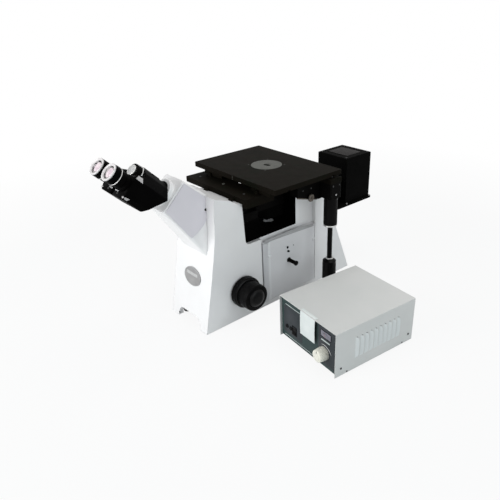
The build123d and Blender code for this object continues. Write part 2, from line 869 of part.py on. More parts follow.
# Objectives: base radius and height, barrel radius and height, nose radius and full height
objective_play = 0.1
objective_sizes = {
    "objective_low": (11.0, 5.0, 12.5, 15.0, 9.0, 24.0),
    "objective_medium": (11.0, 6.0, 12.5, 22.0, 6.0, 31.0),
    "objective_high": (11.0, 6.0, 12.5, 26.0, 5.0, 36.0),
    "objective_long": (11.0, 7.0, 13.0, 25.0, 8.0, 34.0),
}
objective_seats = {"objective_medium": 0, "objective_low": 4, "objective_high": 1, "objective_long": 2}
objective_lens = 3.0
for name, (base, base_high, barrel, barrel_high, nose, full) in objective_sizes.items():
    seat = seat_plane(objective_seats[name])
    with BuildPart() as objective:
        with BuildSketch(Plane(seat.origin, x_dir=seat.x_dir, z_dir=seat.y_dir * -1)):
            with BuildLine():
                Polyline(
                    (0, -seat_deep),
                    (base, -seat_deep),
                    (base, base_high),
                    (barrel, base_high),
                    (barrel, barrel_high),
                    (nose, full - (full - barrel_high) / 4),
                    (nose, full),
                    (0, full),
                    close=True,
                )
            make_face()
        revolve(axis=Axis(seat.origin, seat.z_dir))
        rod(seat, objective_lens, full - objective_lens, full + overrun, mode=Mode.SUBTRACT)
    save(objective, name)

# Plug in the empty seat
plug_seat = next(i for i in range(seat_count) if i not in objective_seats.values())
plug_high = 3.0
with BuildPart() as seat_plug:
    rod(seat_plane(plug_seat), seat_counterbore - objective_play, -seat_deep, plug_high)
    fillet(seat_plug.edges().filter_by(GeomType.CIRCLE), seat_deep / 2)
save(seat_plug, "turret_plug")

# Nosepiece bracket: a wedge whose upper face is square to the turret's axis
bracket_half = arm_in_x
bracket_low_z = 250.0
bracket_high_z = 261.0
bracket_back_y = 25.0
bracket_step_y = -68.0
turret_gap = 0.4
wedge_at = -turret_thick - turret_gap
with BuildPart() as nosepiece_bracket:
    base = turret.from_local_coords((0, 0, wedge_at))

    def wedge_z(y):
        """Height of the wedge's upper face."""
        return base.Z + (y - base.Y) * tan(radians(turret_tilt))

    with BuildSketch(Plane.YZ):
        with BuildLine():
            Polyline(
                (bracket_front_y, bracket_low_z),
                (bracket_front_y, bracket_high_z),
                (bracket_step_y, bracket_high_z),
                (bracket_step_y, wedge_z(bracket_step_y)),
                (bracket_back_y, wedge_z(bracket_back_y)),
                (bracket_back_y, bracket_low_z),
                close=True,
            )
        make_face()
    extrude(amount=bracket_half, both=True)
    rod(Plane.XY, light_radius + overrun, bracket_low_z - overrun, shoulder_z, mode=Mode.SUBTRACT)
    rod(
        turret,
        pivot_radius + shaft_play,
        wedge_at - pivot_long - overrun,
        wedge_at + overrun,
        mode=Mode.SUBTRACT,
    )
save(nosepiece_bracket, "nosepiece_bracket")

# Lamp tube: it crosses the rear column and ends in the reflector housing under the nosepiece
lamp_front_y, lamp_back_y = 246.6, 350.0
lamp_tube_bore = 15.0
cube_half, cube_half_high = 20.0, 15.0
cube_front_y = -22.0
splitter_half = 11.0
light_bore = 11.0
with BuildPart() as lamp_tube:
    rod(Plane((0, 0, lamp_axis_z), z_dir=(0, 1, 0)), lamp_tube_radius, 0, lamp_front_y)
    block(
        (-lamp_tube_radius - overrun, lamp_tube_radius + overrun),
        (-overrun, bay_back_y - liner_thick),
        (lamp_axis_z - lamp_tube_radius - overrun, lamp_axis_z + lamp_tube_radius + overrun),
        mode=Mode.SUBTRACT,
    )
    block(
        (-cube_half, cube_half),
        (cube_front_y, bay_back_y - liner_thick),
        (lamp_axis_z - cube_half_high, lamp_axis_z + cube_half_high),
    )
    rod(
        Plane((0, 0, lamp_axis_z), z_dir=(0, 1, 0)),
        lamp_tube_bore,
        bay_back_y,
        lamp_front_y + overrun,
        mode=Mode.SUBTRACT,
    )
    rod(
        Plane((0, 0, lamp_axis_z), z_dir=(0, 1, 0)),
        light_bore,
        0,
        bay_back_y + overrun,
        mode=Mode.SUBTRACT,
    )
    rod(
        Plane.XY,
        light_bore,
        lamp_axis_z - cube_half_high - overrun,
        lamp_axis_z + cube_half_high + overrun,
        mode=Mode.SUBTRACT,
    )
    block(
        (-splitter_half, splitter_half),
        (-splitter_half, splitter_half),
        (lamp_axis_z - splitter_half, lamp_axis_z + splitter_half),
        mode=Mode.SUBTRACT,
    )
save(lamp_tube, "lamp_tube")

with BuildPart() as beam_splitter:
    block(
        (-splitter_half, splitter_half),
        (-splitter_half, splitter_half),
        (lamp_axis_z - splitter_half, lamp_axis_z + splitter_half),
    )
save(beam_splitter, "beam_splitter")

collector_y, collector_thick = 210.0, 8.0
with BuildPart() as collector_lens:
    rod(
        Plane((0, 0, lamp_axis_z), z_dir=(0, 1, 0)),
        lamp_tube_bore,
        collector_y,
        collector_y + collector_thick,
    )
save(collector_lens, "collector_lens")

# Lamp house: a sheet box with a vented lid, standing on a flanged base plate
lamp_half = 55.0
lamp_low_z, lamp_top_z = 192.0, 325.0
lamp_sheet = 2.0
lid_high, lid_bevel = 15.0, 1.5
slot_count, slot_wide, slot_pitch = 9, 4.0, 8.0
slot_margin = 18.0
lamp_flange = 6.0
flange_front_y = 208.0
lamp_base_thick = 6.0
lamp_mid_y = (lamp_front_y + lamp_back_y) / 2
holder_half = 14.0
bulb_radius, bulb_long = 6.0, 26.0
bulb_round = 5.0
with BuildPart() as lamp_house:
    block((-lamp_half, lamp_half), (lamp_front_y, lamp_back_y), (lamp_low_z, lamp_top_z - lid_high))
    block(
        (lamp_sheet - lamp_half, lamp_half - lamp_sheet),
        (lamp_front_y + lamp_sheet, lamp_back_y - lamp_sheet),
        (lamp_low_z - overrun, lamp_top_z),
        mode=Mode.SUBTRACT,
    )
    rod(
        Plane((0, 0, lamp_axis_z), z_dir=(0, 1, 0)),
        lamp_tube_bore,
        lamp_front_y - overrun,
        lamp_front_y + 2 * overrun,
        mode=Mode.SUBTRACT,
    )
save(lamp_house, "lamp_house")

with BuildPart() as lamp_lid:
    block(
        (-lamp_half, lamp_half),
        (lamp_front_y, lamp_back_y),
        (lamp_top_z - lid_high, lamp_top_z),
    )
    chamfer(lamp_lid.faces().sort_by(Axis.Z)[-1].edges(), lid_bevel, lid_bevel)
    block(
        (lamp_sheet - lamp_half, lamp_half - lamp_sheet),
        (lamp_front_y + lamp_sheet, lamp_back_y - lamp_sheet),
        (lamp_top_z - lid_high - overrun, lamp_top_z - lid_bevel - lamp_sheet),
        mode=Mode.SUBTRACT,
    )
    for index in range(slot_count):
        y = lamp_mid_y + (index - (slot_count - 1) / 2) * slot_pitch
        block(
            (slot_margin - lamp_half, lamp_half - slot_margin),
            (y - slot_wide / 2, y + slot_wide / 2),
            (lamp_top_z - lid_high, lamp_top_z + overrun),
            mode=Mode.SUBTRACT,
        )
save(lamp_lid, "lamp_lid")

with BuildPart() as lamp_base:
    block(
        (-lamp_half - lamp_flange, lamp_half + lamp_flange),
        (flange_front_y, lamp_back_y + lamp_flange),
        (lamp_low_z - lamp_base_thick, lamp_low_z),
    )
    fillet(lamp_base.edges().filter_by(Axis.Z), lamp_flange)
    # lamp holder under the lamp, and the saddle that holds the tube on the plate
    block(
        (-holder_half, holder_half),
        (lamp_mid_y - holder_half, lamp_mid_y + holder_half),
        (lamp_low_z, lamp_axis_z - bulb_long / 2),
    )
    block(
        (-lamp_tube_radius, lamp_tube_radius),
        (flange_front_y, lamp_front_y),
        (lamp_low_z, lamp_axis_z - lamp_tube_radius / 2),
    )
    rod(
        Plane((0, 0, lamp_axis_z), z_dir=(0, 1, 0)),
        lamp_tube_radius + seat_play,
        flange_front_y - overrun,
        lamp_front_y + overrun,
        mode=Mode.SUBTRACT,
    )
save(lamp_base, "lamp_base")

# Halogen lamp, plugged into its holder on the axis of the collector
with BuildPart() as lamp_bulb:
    low = lamp_axis_z - bulb_long / 2
    rod(Plane((0, lamp_mid_y, 0)), bulb_radius, low, low + bulb_long)
    fillet(lamp_bulb.faces().sort_by(Axis.Z)[-1].edges(), bulb_round)
save(lamp_bulb, "lamp_bulb")

# Inner bridge on the base plate: it holds the lower mirror and the beam selector's slideway
cheek_clear, cheek_thick = 12.0, 7.0                # the cheeks stand clear of the casting's side walls
cheek_out_x = waist_half - wall - cheek_clear
cheek_in_x = cheek_out_x - cheek_thick
bridge_front_y, bridge_back_y = -36.0, 40.0
bridge_top_z, bridge_thick = 92.0, 6.0
beam_gap_half, beam_gap_back_y = 14.0, -10.0
sole_thick = 4.0
rail_wide, rail_high = 6.0, 8.0
selector_half_y = 21.0
mirror_half_x, mirror_long, mirror_thick = 18.0, 40.0, 5.0
mirror_lean = (180 - (90 + head_tilt)) / 2          # degrees between the mirror and the table
mirror_plane = Plane(
    origin=(0, 0, mirror_z),
    x_dir=(1, 0, 0),
    z_dir=(0, -sin(radians(mirror_lean)), cos(radians(mirror_lean))),
)
wedge_half_y = mirror_long / 2 * cos(radians(mirror_lean))
with BuildPart() as optics_bridge:
    for side in (1, -1):
        block(
            sorted((side * cheek_in_x, side * cheek_out_x)),
            (bridge_front_y, bridge_back_y),
            (plate_top, bridge_top_z),
        )
    block(
        (-cheek_out_x, cheek_out_x),
        (bridge_front_y, bridge_back_y),
        (bridge_top_z - bridge_thick, bridge_top_z),
    )
    block((-cheek_out_x, cheek_out_x), (-wedge_half_y, wedge_half_y), (plate_top, plate_top + sole_thick))
    for y in (selector_y - selector_half_y - slack - rail_wide, selector_y + selector_half_y + slack):
        block((-cheek_out_x, cheek_out_x), (y, y + rail_wide), (bridge_top_z, bridge_top_z + rail_high))
    block(
        (-beam_gap_half, beam_gap_half),
        (bridge_front_y - overrun, beam_gap_back_y),
        (bridge_top_z - bridge_thick - overrun, bridge_top_z + rail_high + overrun),
        mode=Mode.SUBTRACT,
    )
    rod(
        Plane.XY,
        beam_gap_half,
        bridge_top_z - 2 * bridge_thick,
        bridge_top_z + overrun,
        mode=Mode.SUBTRACT,
    )
    with BuildSketch(Plane.YZ):
        with BuildLine():
            low = mirror_plane.from_local_coords((0, -mirror_long / 2, -mirror_thick))
            high = mirror_plane.from_local_coords((0, mirror_long / 2, -mirror_thick))
            Polyline(
                (low.Y, plate_top),
                (low.Y, low.Z),
                (high.Y, high.Z),
                (high.Y, plate_top),
                close=True,
            )
        make_face()
    extrude(amount=mirror_half_x, both=True)
save(optics_bridge, "optics_bridge")

with BuildPart() as lower_mirror:
    with BuildSketch(mirror_plane.offset(-mirror_thick)):
        Rectangle(2 * mirror_half_x, mirror_long)
    extrude(amount=mirror_thick)
save(lower_mirror, "lower_mirror")

# Beam selector: a slide with a clear hole and a prism, moved by the black rod on the right
selector_low_x, selector_high_x = -17.0, 40.0
selector_travel = 25.0
selector_rise = 13.0       # from the rod's axis to the top of the slide
selector_high_z = selector_z + selector_rise
selector_reach = 30.0
selector_knob_x = stand_half + selector_reach
prism_half = 10.0
with BuildPart() as selector_slide:
    block(
        (selector_low_x, selector_high_x),
        (selector_y - selector_half_y, selector_y + selector_half_y),
        (bridge_top_z + slack, selector_high_z),
    )
    rod(Plane.XY, light_bore, bridge_top_z - overrun, selector_high_z + overrun, mode=Mode.SUBTRACT)
    block(
        (selector_travel - prism_half, selector_travel + prism_half),
        (-prism_half, prism_half),
        (selector_z - prism_half, selector_high_z + overrun),
        mode=Mode.SUBTRACT,
    )
save(selector_slide, "selector_slide")

with BuildPart() as selector_prism:
    with BuildSketch(Plane.XZ.offset(-prism_half)):
        with BuildLine():
            Polyline(
                (selector_travel - prism_half, selector_z - prism_half),
                (selector_travel + prism_half, selector_z - prism_half),
                (selector_travel + prism_half, selector_z + prism_half),
                close=True,
            )
        make_face()
    extrude(amount=2 * prism_half)
save(selector_prism, "selector_prism")

with BuildPart() as selector_rod:
    rod(
        Plane((0, selector_y, selector_z), z_dir=(1, 0, 0)),
        selector_radius,
        selector_high_x,
        selector_knob_x,
    )
    fillet(selector_rod.faces().sort_by(Axis.X)[-1].edges(), selector_radius / 3)
save(selector_rod, "selector_rod")

# Tube lens in its cell, which stands on the base plate across the image beam
cell_front_y, cell_back_y = -76.0, -60.0
cell_half, cell_high_z = 28.0, 150.0
cell_tube_radius, cell_bore = 18.0, 14.0
cell_tube_low, cell_tube_high = 78.0, 114.0
lens_low, lens_thick = 90.0, 8.0
image_beam = Plane(origin=(0, 0, mirror_z), x_dir=(1, 0, 0), z_dir=head.z_dir)
with BuildPart() as lens_cell:
    block((-cell_half, cell_half), (cell_front_y, cell_back_y), (plate_top, cell_high_z))
    fillet(lens_cell.faces().sort_by(Axis.Z)[-1].edges().filter_by(Axis.Y), cell_half / 2)
    rod(image_beam, cell_tube_radius, cell_tube_low, cell_tube_high)
    rod(image_beam, cell_bore, cell_tube_low - wall, cell_tube_high + wall, mode=Mode.SUBTRACT)
save(lens_cell, "lens_cell")

with BuildPart() as tube_lens:
    rod(image_beam, cell_bore, lens_low, lens_low + lens_thick)
save(tube_lens, "tube_lens")

# Fixed stage plate, seated on the pillar's crest and on the rear column
stage_base_thick = 13.0
stage_base_top = stage_seat_z + stage_base_thick
stage_base_left, stage_base_right = -149.0, 97.0
stage_base_front_y = -149.0
stage_base_back_y = 118.0
stage_hole_radius, stage_hole_y = 62.0, -22.0
stage_corner = 4.0
rib_gap = 2.5
rib_in_x, rib_low_z, rib_back_y = stand_half + rib_gap, 299.0, -62.0
y_rail_at = (-105.0, 82.0)
y_rail_half, y_rail_high = 5.0, 8.0
y_rail_front_y, y_rail_back_y = -105.0, 105.0
with BuildPart() as stage_base:
    block(
        (stage_base_left, stage_base_right),
        (stage_base_front_y, stage_base_back_y),
        (stage_seat_z, stage_base_top),
    )
    fillet(stage_base.edges().filter_by(Axis.Z), stage_corner)
    block(
        (rib_in_x, stage_base_right),
        (stage_base_front_y + stage_corner, rib_back_y),
        (rib_low_z, stage_seat_z),
    )
    for x in (-lug_x, lug_x):
        block(
            (x - lug_half, x + lug_half),
            (crest_y - overrun + slack, crest_y - overrun + lug_deep),
            (stage_seat_z - lug_drop, stage_seat_z + slack),
        )
        block(
            (x - lug_half, x + lug_half),
            (crest_y - overrun + slack, stage_base_front_y),
            (stage_seat_z, stage_seat_z + lug_drop / 2),
        )
    for x in y_rail_at:
        block(
            (x - y_rail_half, x + y_rail_half),
            (y_rail_front_y, y_rail_back_y),
            (stage_base_top, stage_base_top + y_rail_high),
        )
    rod(
        Plane((0, stage_hole_y, 0)),
        stage_hole_radius,
        rib_low_z,
        stage_base_top + overrun,
        mode=Mode.SUBTRACT,
    )
save(stage_base, "stage_base")

# Stage carriage: an open frame that slides away from and towards the user
carriage_gap = 2.0
carriage_low, carriage_thick = stage_base_top + carriage_gap, 12.0
carriage_top = carriage_low + carriage_thick
carriage_left, carriage_right = -132.0, 126.0
carriage_front, carriage_back = -100.0, 98.0
frame_half, frame_back_y = 58.0, 48.0
drive_x, drive_y = 150.0, 80.0
drive_half_x, drive_half_y = 18.0, 20.0
x_rail_at = (-72.0, 74.0)
x_rail_half, x_rail_high = 4.0, 7.5
with BuildPart() as stage_carriage:
    block((carriage_left, carriage_right), (carriage_front, carriage_back), (carriage_low, carriage_top))
    block(
        (-frame_half, frame_half),
        (carriage_front - overrun, frame_back_y),
        (carriage_low - overrun, carriage_top + overrun),
        mode=Mode.SUBTRACT,
    )
    block(
        (carriage_right - overrun, drive_x + drive_half_x),
        (drive_y - drive_half_y, carriage_back),
        (carriage_low, carriage_top),
    )
    for y in x_rail_at:
        block(
            (carriage_left, -frame_half),
            (y - x_rail_half, y + x_rail_half),
            (carriage_top, carriage_top + x_rail_high),
        )
        block(
            (frame_half, carriage_right),
            (y - x_rail_half, y + x_rail_half),
            (carriage_top, carriage_top + x_rail_high),
        )
    for x in y_rail_at:
        block(
            (x - y_rail_half - slack, x + y_rail_half + slack),
            (carriage_front - overrun, carriage_back + overrun),
            (carriage_low - overrun, stage_base_top + y_rail_high + slack),
            mode=Mode.SUBTRACT,
        )
save(stage_carriage, "stage_carriage")

# Stage top plate with its recess for the insert
top_gap = 4.2
top_low = carriage_top + top_gap
top_thick = 12.0
top_z = top_low + top_thick
top_left, top_right = -155.0, 161.0
top_front_y, top_back_y = -114.0, 105.0
top_corner, top_edge = 3.0, 0.8
insert_radius, insert_thick = 39.5, 3.0
insert_ledge = 3.5
with BuildPart() as stage_top:
    block((top_left, top_right), (top_front_y, top_back_y), (top_low, top_z))
    fillet(stage_top.edges().filter_by(Axis.Z), top_corner)
    chamfer(stage_top.faces().sort_by(Axis.Z)[-1].edges(), top_edge)
    rod(Plane.XY, insert_radius + slack, top_z - insert_thick, top_z + overrun, mode=Mode.SUBTRACT)
    rod(Plane.XY, insert_radius - insert_ledge, top_low - overrun, top_z + overrun, mode=Mode.SUBTRACT)
    for y in x_rail_at:
        block(
            (top_left - overrun, top_right + overrun),
            (y - x_rail_half - slack, y + x_rail_half + slack),
            (top_low - overrun, carriage_top + x_rail_high + slack),
            mode=Mode.SUBTRACT,
        )
save(stage_top, "stage_top")

# Stage insert: a metal disc with a tear-shaped hole over the objective
drop_radius, drop_tip = 7.5, 17.0
with BuildPart() as stage_insert:
    rod(Plane.XY, insert_radius, top_z - insert_thick, top_z)
    with BuildSketch(Plane.XY.offset(top_z - insert_thick)):
        Circle(drop_radius)
        with BuildLine():
            turn = drop_radius / drop_tip
            reach = drop_radius * sqrt(1 - turn * turn)
            Polyline(
                (drop_radius * turn, reach),
                (drop_tip, 0),
                (drop_radius * turn, -reach),
                close=True,
            )
        make_face()
    extrude(amount=insert_thick, mode=Mode.SUBTRACT)
save(stage_insert, "stage_insert")

# Stage drive: housing under the carriage's arm, with two knobs hanging from it
housing_low_z = 284.0
y_knob_radius, y_knob_low, y_knob_high = 17.3, 208.0, 283.0
x_shaft_radius = 6.5
x_knob_radius, x_knob_low, x_knob_high = 17.7, 46.0, 112.0
x_knob_shoulder = 6.0
gusset_in_x, gusset_front_y, gusset_front_z, gusset_low_z = 100.0, -12.0, 298.0, 277.0
x_shaft_top = 300.0
with BuildPart() as drive_housing:
    with BuildSketch(Plane.YZ.offset(gusset_in_x)):
        with BuildLine():
            Polyline(
                (gusset_front_y, carriage_low),
                (gusset_front_y, gusset_front_z),
                (drive_y - drive_half_y, gusset_low_z),
                (carriage_back, gusset_low_z),
                (carriage_back, carriage_low),
                close=True,
            )
        make_face()
    extrude(amount=carriage_right - gusset_in_x)
    block(
        (carriage_right - overrun, drive_x),
        (drive_y - drive_half_y, carriage_back),
        (housing_low_z, carriage_low),
    )
    block(
        (drive_x - drive_half_x, drive_x + drive_half_x),
        (drive_y - drive_half_y, carriage_back),
        (housing_low_z, carriage_low),
    )
    corners = drive_housing.edges().filter_by(Axis.Z).group_by(Axis.X)[-1]
    fillet(corners, stage_corner)
    rod(
        Plane((drive_x, drive_y, 0)),
        x_shaft_radius + 2 * shaft_play,
        housing_low_z - overrun,
        x_shaft_top + slack,
        mode=Mode.SUBTRACT,
    )
save(drive_housing, "drive_housing")

with BuildPart() as y_knob:
    rod(Plane((drive_x, drive_y, 0)), y_knob_radius, y_knob_low, y_knob_high)
    fillet(y_knob.edges().filter_by(GeomType.CIRCLE), knob_round / 2)
    rod(
        Plane((drive_x, drive_y, 0)),
        x_shaft_radius + 2 * shaft_play,
        y_knob_low - overrun,
        y_knob_high + overrun,
        mode=Mode.SUBTRACT,
    )
save(y_knob, "y_knob")

with BuildPart() as x_knob:
    rod(Plane((drive_x, drive_y, 0)), x_shaft_radius, x_knob_low, x_shaft_top)
    rod(Plane((drive_x, drive_y, 0)), x_knob_radius, x_knob_low, x_knob_high - x_knob_shoulder)
    with Locations((drive_x, drive_y, x_knob_high - x_knob_shoulder / 2)):
        Cone(x_knob_radius, x_shaft_radius + overrun, x_knob_shoulder)
    fillet(x_knob.faces().sort_by(Axis.Z)[0].edges(), knob_round)
save(x_knob, "x_knob")

# Lamp power unit, standing by itself to the right and turned a little
unit_x, unit_y = 199.9, -143.0         # its front left corner on the table
unit_turn = -6.65
unit_wide, unit_deep, unit_high = 200.0, 238.0, 115.0
unit_sheet = 1.5
unit_foot = 6.0
unit_foot_radius = 7.0
unit_lip = 6.0                         # the cover overhangs the front panel
panel_thick = 3.0
unit_skirt = 3.0                       # the cover's sides end this far above the table
unit = Plane(
    origin=(unit_x, unit_y, 0),
    x_dir=(cos(radians(unit_turn)), sin(radians(unit_turn)), 0),
    z_dir=(0, 0, 1),
)
louvre_count, louvre_pitch, louvre_tall, louvre_wide = 10, 14.0, 54.0, 4.0
louvre_start, louvre_mid_z = 60.0, 58.5


def unit_block(x, y, z, mode=Mode.ADD):
    """A box in the power unit's own directions: across, back and up from its front left corner."""
    centre = unit.location * Pos(*((low + high) / 2 for low, high in (x, y, z)))
    with Locations(centre):
        Box(x[1] - x[0], y[1] - y[0], z[1] - z[0], mode=mode)


with BuildPart() as power_cover:
    unit_block((0, unit_wide), (0, unit_deep), (unit_skirt, unit_high))
    edges = [
        edge
        for edge in power_cover.faces().sort_by(Axis.Z)[-1].edges()
        if abs(edge.tangent_at(0).dot(unit.y_dir)) > cos(radians(head_tilt))
    ]
    fillet(edges, unit_sheet)
    unit_block(
        (unit_sheet, unit_wide - unit_sheet),
        (-overrun, unit_deep + overrun),
        (0, unit_high - unit_sheet),
        mode=Mode.SUBTRACT,
    )
    for index in range(louvre_count):
        y = louvre_start + index * louvre_pitch
        unit_block(
            (-overrun, unit_wide + overrun),
            (y - louvre_wide / 2, y + louvre_wide / 2),
            (louvre_mid_z - louvre_tall / 2, louvre_mid_z + louvre_tall / 2),
            mode=Mode.SUBTRACT,
        )
save(power_cover, "power_cover")

# Chassis tray with its rear panel and the transformer bolted to its floor
chassis_in = unit_sheet + seat_play
core_wide, core_deep, core_high = 80.0, 68.0, 66.0
coil_wide, coil_proud = 44.0, 12.0
core_x, core_y = 60.0, 150.0
chassis_floor = unit_foot + unit_sheet
with BuildPart() as power_chassis:
    unit_block(
        (chassis_in, unit_wide - chassis_in),
        (unit_lip + panel_thick, unit_deep - unit_lip),
        (unit_foot, chassis_floor),
    )
    unit_block(
        (chassis_in, unit_wide - chassis_in),
        (unit_deep - unit_lip - unit_sheet, unit_deep - unit_lip),
        (unit_foot, unit_high - chassis_in),
    )
    unit_block(
        (core_x - core_wide / 2, core_x + core_wide / 2),
        (core_y - core_deep / 2, core_y + core_deep / 2),
        (chassis_floor, chassis_floor + core_high),
    )
    unit_block(
        (core_x - coil_wide / 2, core_x + coil_wide / 2),
        (core_y - core_deep / 2 - coil_proud, core_y + core_deep / 2 + coil_proud),
        (chassis_floor + coil_proud, chassis_floor + core_high - coil_proud),
    )
save(power_chassis, "power_chassis")

# Front panel with its meter window, its lamp sockets and the dial's recess
control_x, control_z = 157.0, 42.0
meter_x, meter_z, meter_wide, meter_tall, meter_deep = 160.5, 88.0, 31.0, 20.0, 1.2
switch_x, switch_z, switch_wide, switch_tall = 50.0, 38.0, 13.0, 19.0
socket_x, socket_z, socket_radius = 29.0, 38.0, 6.0
control_radius, control_long, control_taper = 16.0, 22.0, 2.0
control_shaft = 3.0
with BuildPart() as power_panel:
    unit_block(
        (chassis_in, unit_wide - chassis_in),
        (unit_lip, unit_lip + panel_thick),
        (unit_foot, unit_high - chassis_in),
    )
    unit_block(
        (meter_x - meter_wide / 2, meter_x + meter_wide / 2),
        (unit_lip - overrun, unit_lip + meter_deep),
        (meter_z - meter_tall / 2, meter_z + meter_tall / 2),
        mode=Mode.SUBTRACT,
    )
    unit_block(
        (switch_x - switch_wide / 2 - slack, switch_x + switch_wide / 2 + slack),
        (unit_lip - overrun, unit_lip + panel_thick + overrun),
        (switch_z - switch_tall / 2 - slack, switch_z + switch_tall / 2 + slack),
        mode=Mode.SUBTRACT,
    )
    front_of_panel = Plane(
        origin=unit.from_local_coords((0, unit_lip, 0)),
        x_dir=unit.x_dir,
        z_dir=-unit.y_dir,
    )
    rod(
        front_of_panel.shift_origin(front_of_panel.from_local_coords((control_x, control_z, 0))),
        control_shaft + shaft_play,
        -panel_thick - overrun,
        overrun,
        mode=Mode.SUBTRACT,
    )
    rod(
        front_of_panel.shift_origin(front_of_panel.from_local_coords((socket_x, socket_z, 0))),
        socket_radius,
        -panel_thick + meter_deep,
        overrun,
        mode=Mode.SUBTRACT,
    )
save(power_panel, "power_panel")

with BuildPart() as brightness_knob:
    dial = front_of_panel.shift_origin(front_of_panel.from_local_coords((control_x, control_z, 0)))
    with Locations(dial.offset(slack + control_long / 2).location):
        Cone(control_radius, control_radius - control_taper, control_long)
    rod(dial, control_shaft, -panel_thick - overrun, slack + control_taper)
    fillet(brightness_knob.faces().sort_by(Axis(dial.origin, dial.z_dir))[-1].edges(), control_taper)
save(brightness_knob, "brightness_knob")

# Rocker of the mains switch: it tips about a pin level with the panel's face
rocker_rise = 1.5
with BuildPart() as power_switch:
    middle = front_of_panel.from_local_coords((switch_x - switch_wide / 2 + slack, switch_z, 0))
    with BuildSketch(Plane(middle, x_dir=unit.y_dir, z_dir=unit.x_dir)):
        with BuildLine():
            half = switch_tall / 2 - 2 * slack
            Polyline(
                (panel_thick, -half + rocker_rise),
                (-rocker_rise - rocker_rise, -half + rocker_rise),
                (-rocker_rise / 2, 0),
                (-rocker_rise / 2, half - rocker_rise),
                (panel_thick, half - rocker_rise),
                close=True,
            )
        make_face()
    extrude(amount=switch_wide - 2 * slack)
save(power_switch, "power_switch")

# Feet of the power unit
foot_inset = 22.0
with BuildPart() as power_feet:
    for x in (foot_inset, unit_wide - foot_inset):
        for y in (foot_inset, unit_deep - foot_inset):
            rod(
                Plane(unit.from_local_coords((x, y, 0))),
                unit_foot_radius,
                0,
                unit_foot,
            )
save(power_feet, "power_feet")
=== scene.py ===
# %% [markdown]
# The looks of an inverted microscope
#
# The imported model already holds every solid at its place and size. This lesson gives those
# solids their finish, adds the small visible things that a solid model leaves out, and sets
# up a plain studio. Everything is in metres, in the frame of the model: +X to the user's
# right, +Y away from the user and +Z up.

# %% Load the frame
import json
from math import atan2, cos, degrees, hypot, pi, radians, sin

import bmesh
import bpy
import numpy as np
from mathutils import Matrix, Vector


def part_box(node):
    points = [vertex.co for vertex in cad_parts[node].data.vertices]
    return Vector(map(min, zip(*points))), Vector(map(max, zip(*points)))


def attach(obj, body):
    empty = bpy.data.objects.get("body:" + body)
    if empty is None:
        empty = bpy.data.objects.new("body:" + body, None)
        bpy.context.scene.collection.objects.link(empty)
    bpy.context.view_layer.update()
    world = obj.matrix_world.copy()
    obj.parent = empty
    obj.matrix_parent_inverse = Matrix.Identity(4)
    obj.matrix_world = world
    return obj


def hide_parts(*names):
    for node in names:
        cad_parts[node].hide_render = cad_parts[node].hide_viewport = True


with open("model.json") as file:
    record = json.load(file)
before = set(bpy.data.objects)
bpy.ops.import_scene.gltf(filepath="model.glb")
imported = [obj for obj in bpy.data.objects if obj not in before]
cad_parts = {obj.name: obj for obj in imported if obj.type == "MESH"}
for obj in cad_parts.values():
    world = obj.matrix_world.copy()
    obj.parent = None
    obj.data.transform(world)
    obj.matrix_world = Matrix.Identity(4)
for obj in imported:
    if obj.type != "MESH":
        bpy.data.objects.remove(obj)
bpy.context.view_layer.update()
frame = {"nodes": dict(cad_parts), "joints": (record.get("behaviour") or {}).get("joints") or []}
mm = 0.001


# %% Read the axes that the joints give
def joint_axis(name):
    """The point and the unit direction of a joint, as the record gives them."""
    found = next(joint for joint in frame["joints"] if joint["name"] == name)
    return np.array(found.get("pos_m", (0, 0, 0)), float), np.array(found["axis"], float)


head_foot, head_axis = joint_axis("right_box_swing")
turret_centre, turret_axis = joint_axis("revolver_turn")
focus_centre = joint_axis("coarse_turn")[0]
dial_centre, unit_front = joint_axis("brightness_turn")
print("head leans", round(degrees(atan2(head_axis[2], -head_axis[1])), 1), "degrees from level")

# %% [markdown]
# Camera
#
# The photograph was taken from the user's right, a little above the stage. Its place and
# lens were worked out from edges whose real directions are known: the two edges of the
# stage plate, the box edges of the power unit and the uprights of the stand.

# %% Set up the camera
def placed(name, data):
    """An object that shows this data, in the scene."""
    made = bpy.data.objects.new(name, data)
    bpy.context.scene.collection.objects.link(made)
    return made


camera_place = (0.9793, -0.8319, 0.7500)
elevation, azimuth, roll = radians(26.51), radians(48.61), radians(-1.34)
image_size = 500
focal_pixels = 522.9
centre_column = 277.67
sensor = 36

towards_viewer = Vector((sin(azimuth) * cos(elevation), -cos(azimuth) * cos(elevation), sin(elevation)))
level = Vector((cos(azimuth), sin(azimuth), 0))
upright = towards_viewer.cross(level)
rolled_x = cos(roll) * level + sin(roll) * upright
rolled_y = -sin(roll) * level + cos(roll) * upright
camera_data = bpy.data.cameras.new("camera")
camera = placed("camera", camera_data)
turn = Matrix((rolled_x, rolled_y, towards_viewer)).transposed().to_4x4()
camera.matrix_world = Matrix.Translation(camera_place) @ turn
camera_data.sensor_width = sensor
camera_data.lens = focal_pixels / image_size * sensor
camera_data.shift_x = (image_size / 2 - centre_column) / image_size
camera_data.clip_start = 0.01
bpy.context.scene.camera = camera
print("lens", round(camera_data.lens, 2), "mm, shift", round(camera_data.shift_x, 4))

# %% [markdown]
# Studio
#
# The picture is a cut-out on white with hardly a shadow. Light comes from the user's side,
# so the front of the stand burns out while its right side stays a soft grey. The floor is
# grey paper for soft light, but what the camera sees of it is mostly its own white light, and
# all of it further out, so that no horizon shows and a faint shadow stays under the object.

# %% Floor, world and lamps
scene = bpy.context.scene
scene.view_settings.view_transform = "Standard"
scene.view_settings.look = "None"


def add(tree, kind, **values):
    """A new node; the values go to the inputs of those names, with _ for a space."""
    node = tree.nodes.new("ShaderNode" + kind)
    for socket, value in values.items():
        node.inputs[socket.replace("_", " ")].default_value = value
    return node


def join(tree, *pairs):
    """Links, each given as an output and the input that it feeds."""
    for output, target in pairs:
        tree.links.new(output, target)


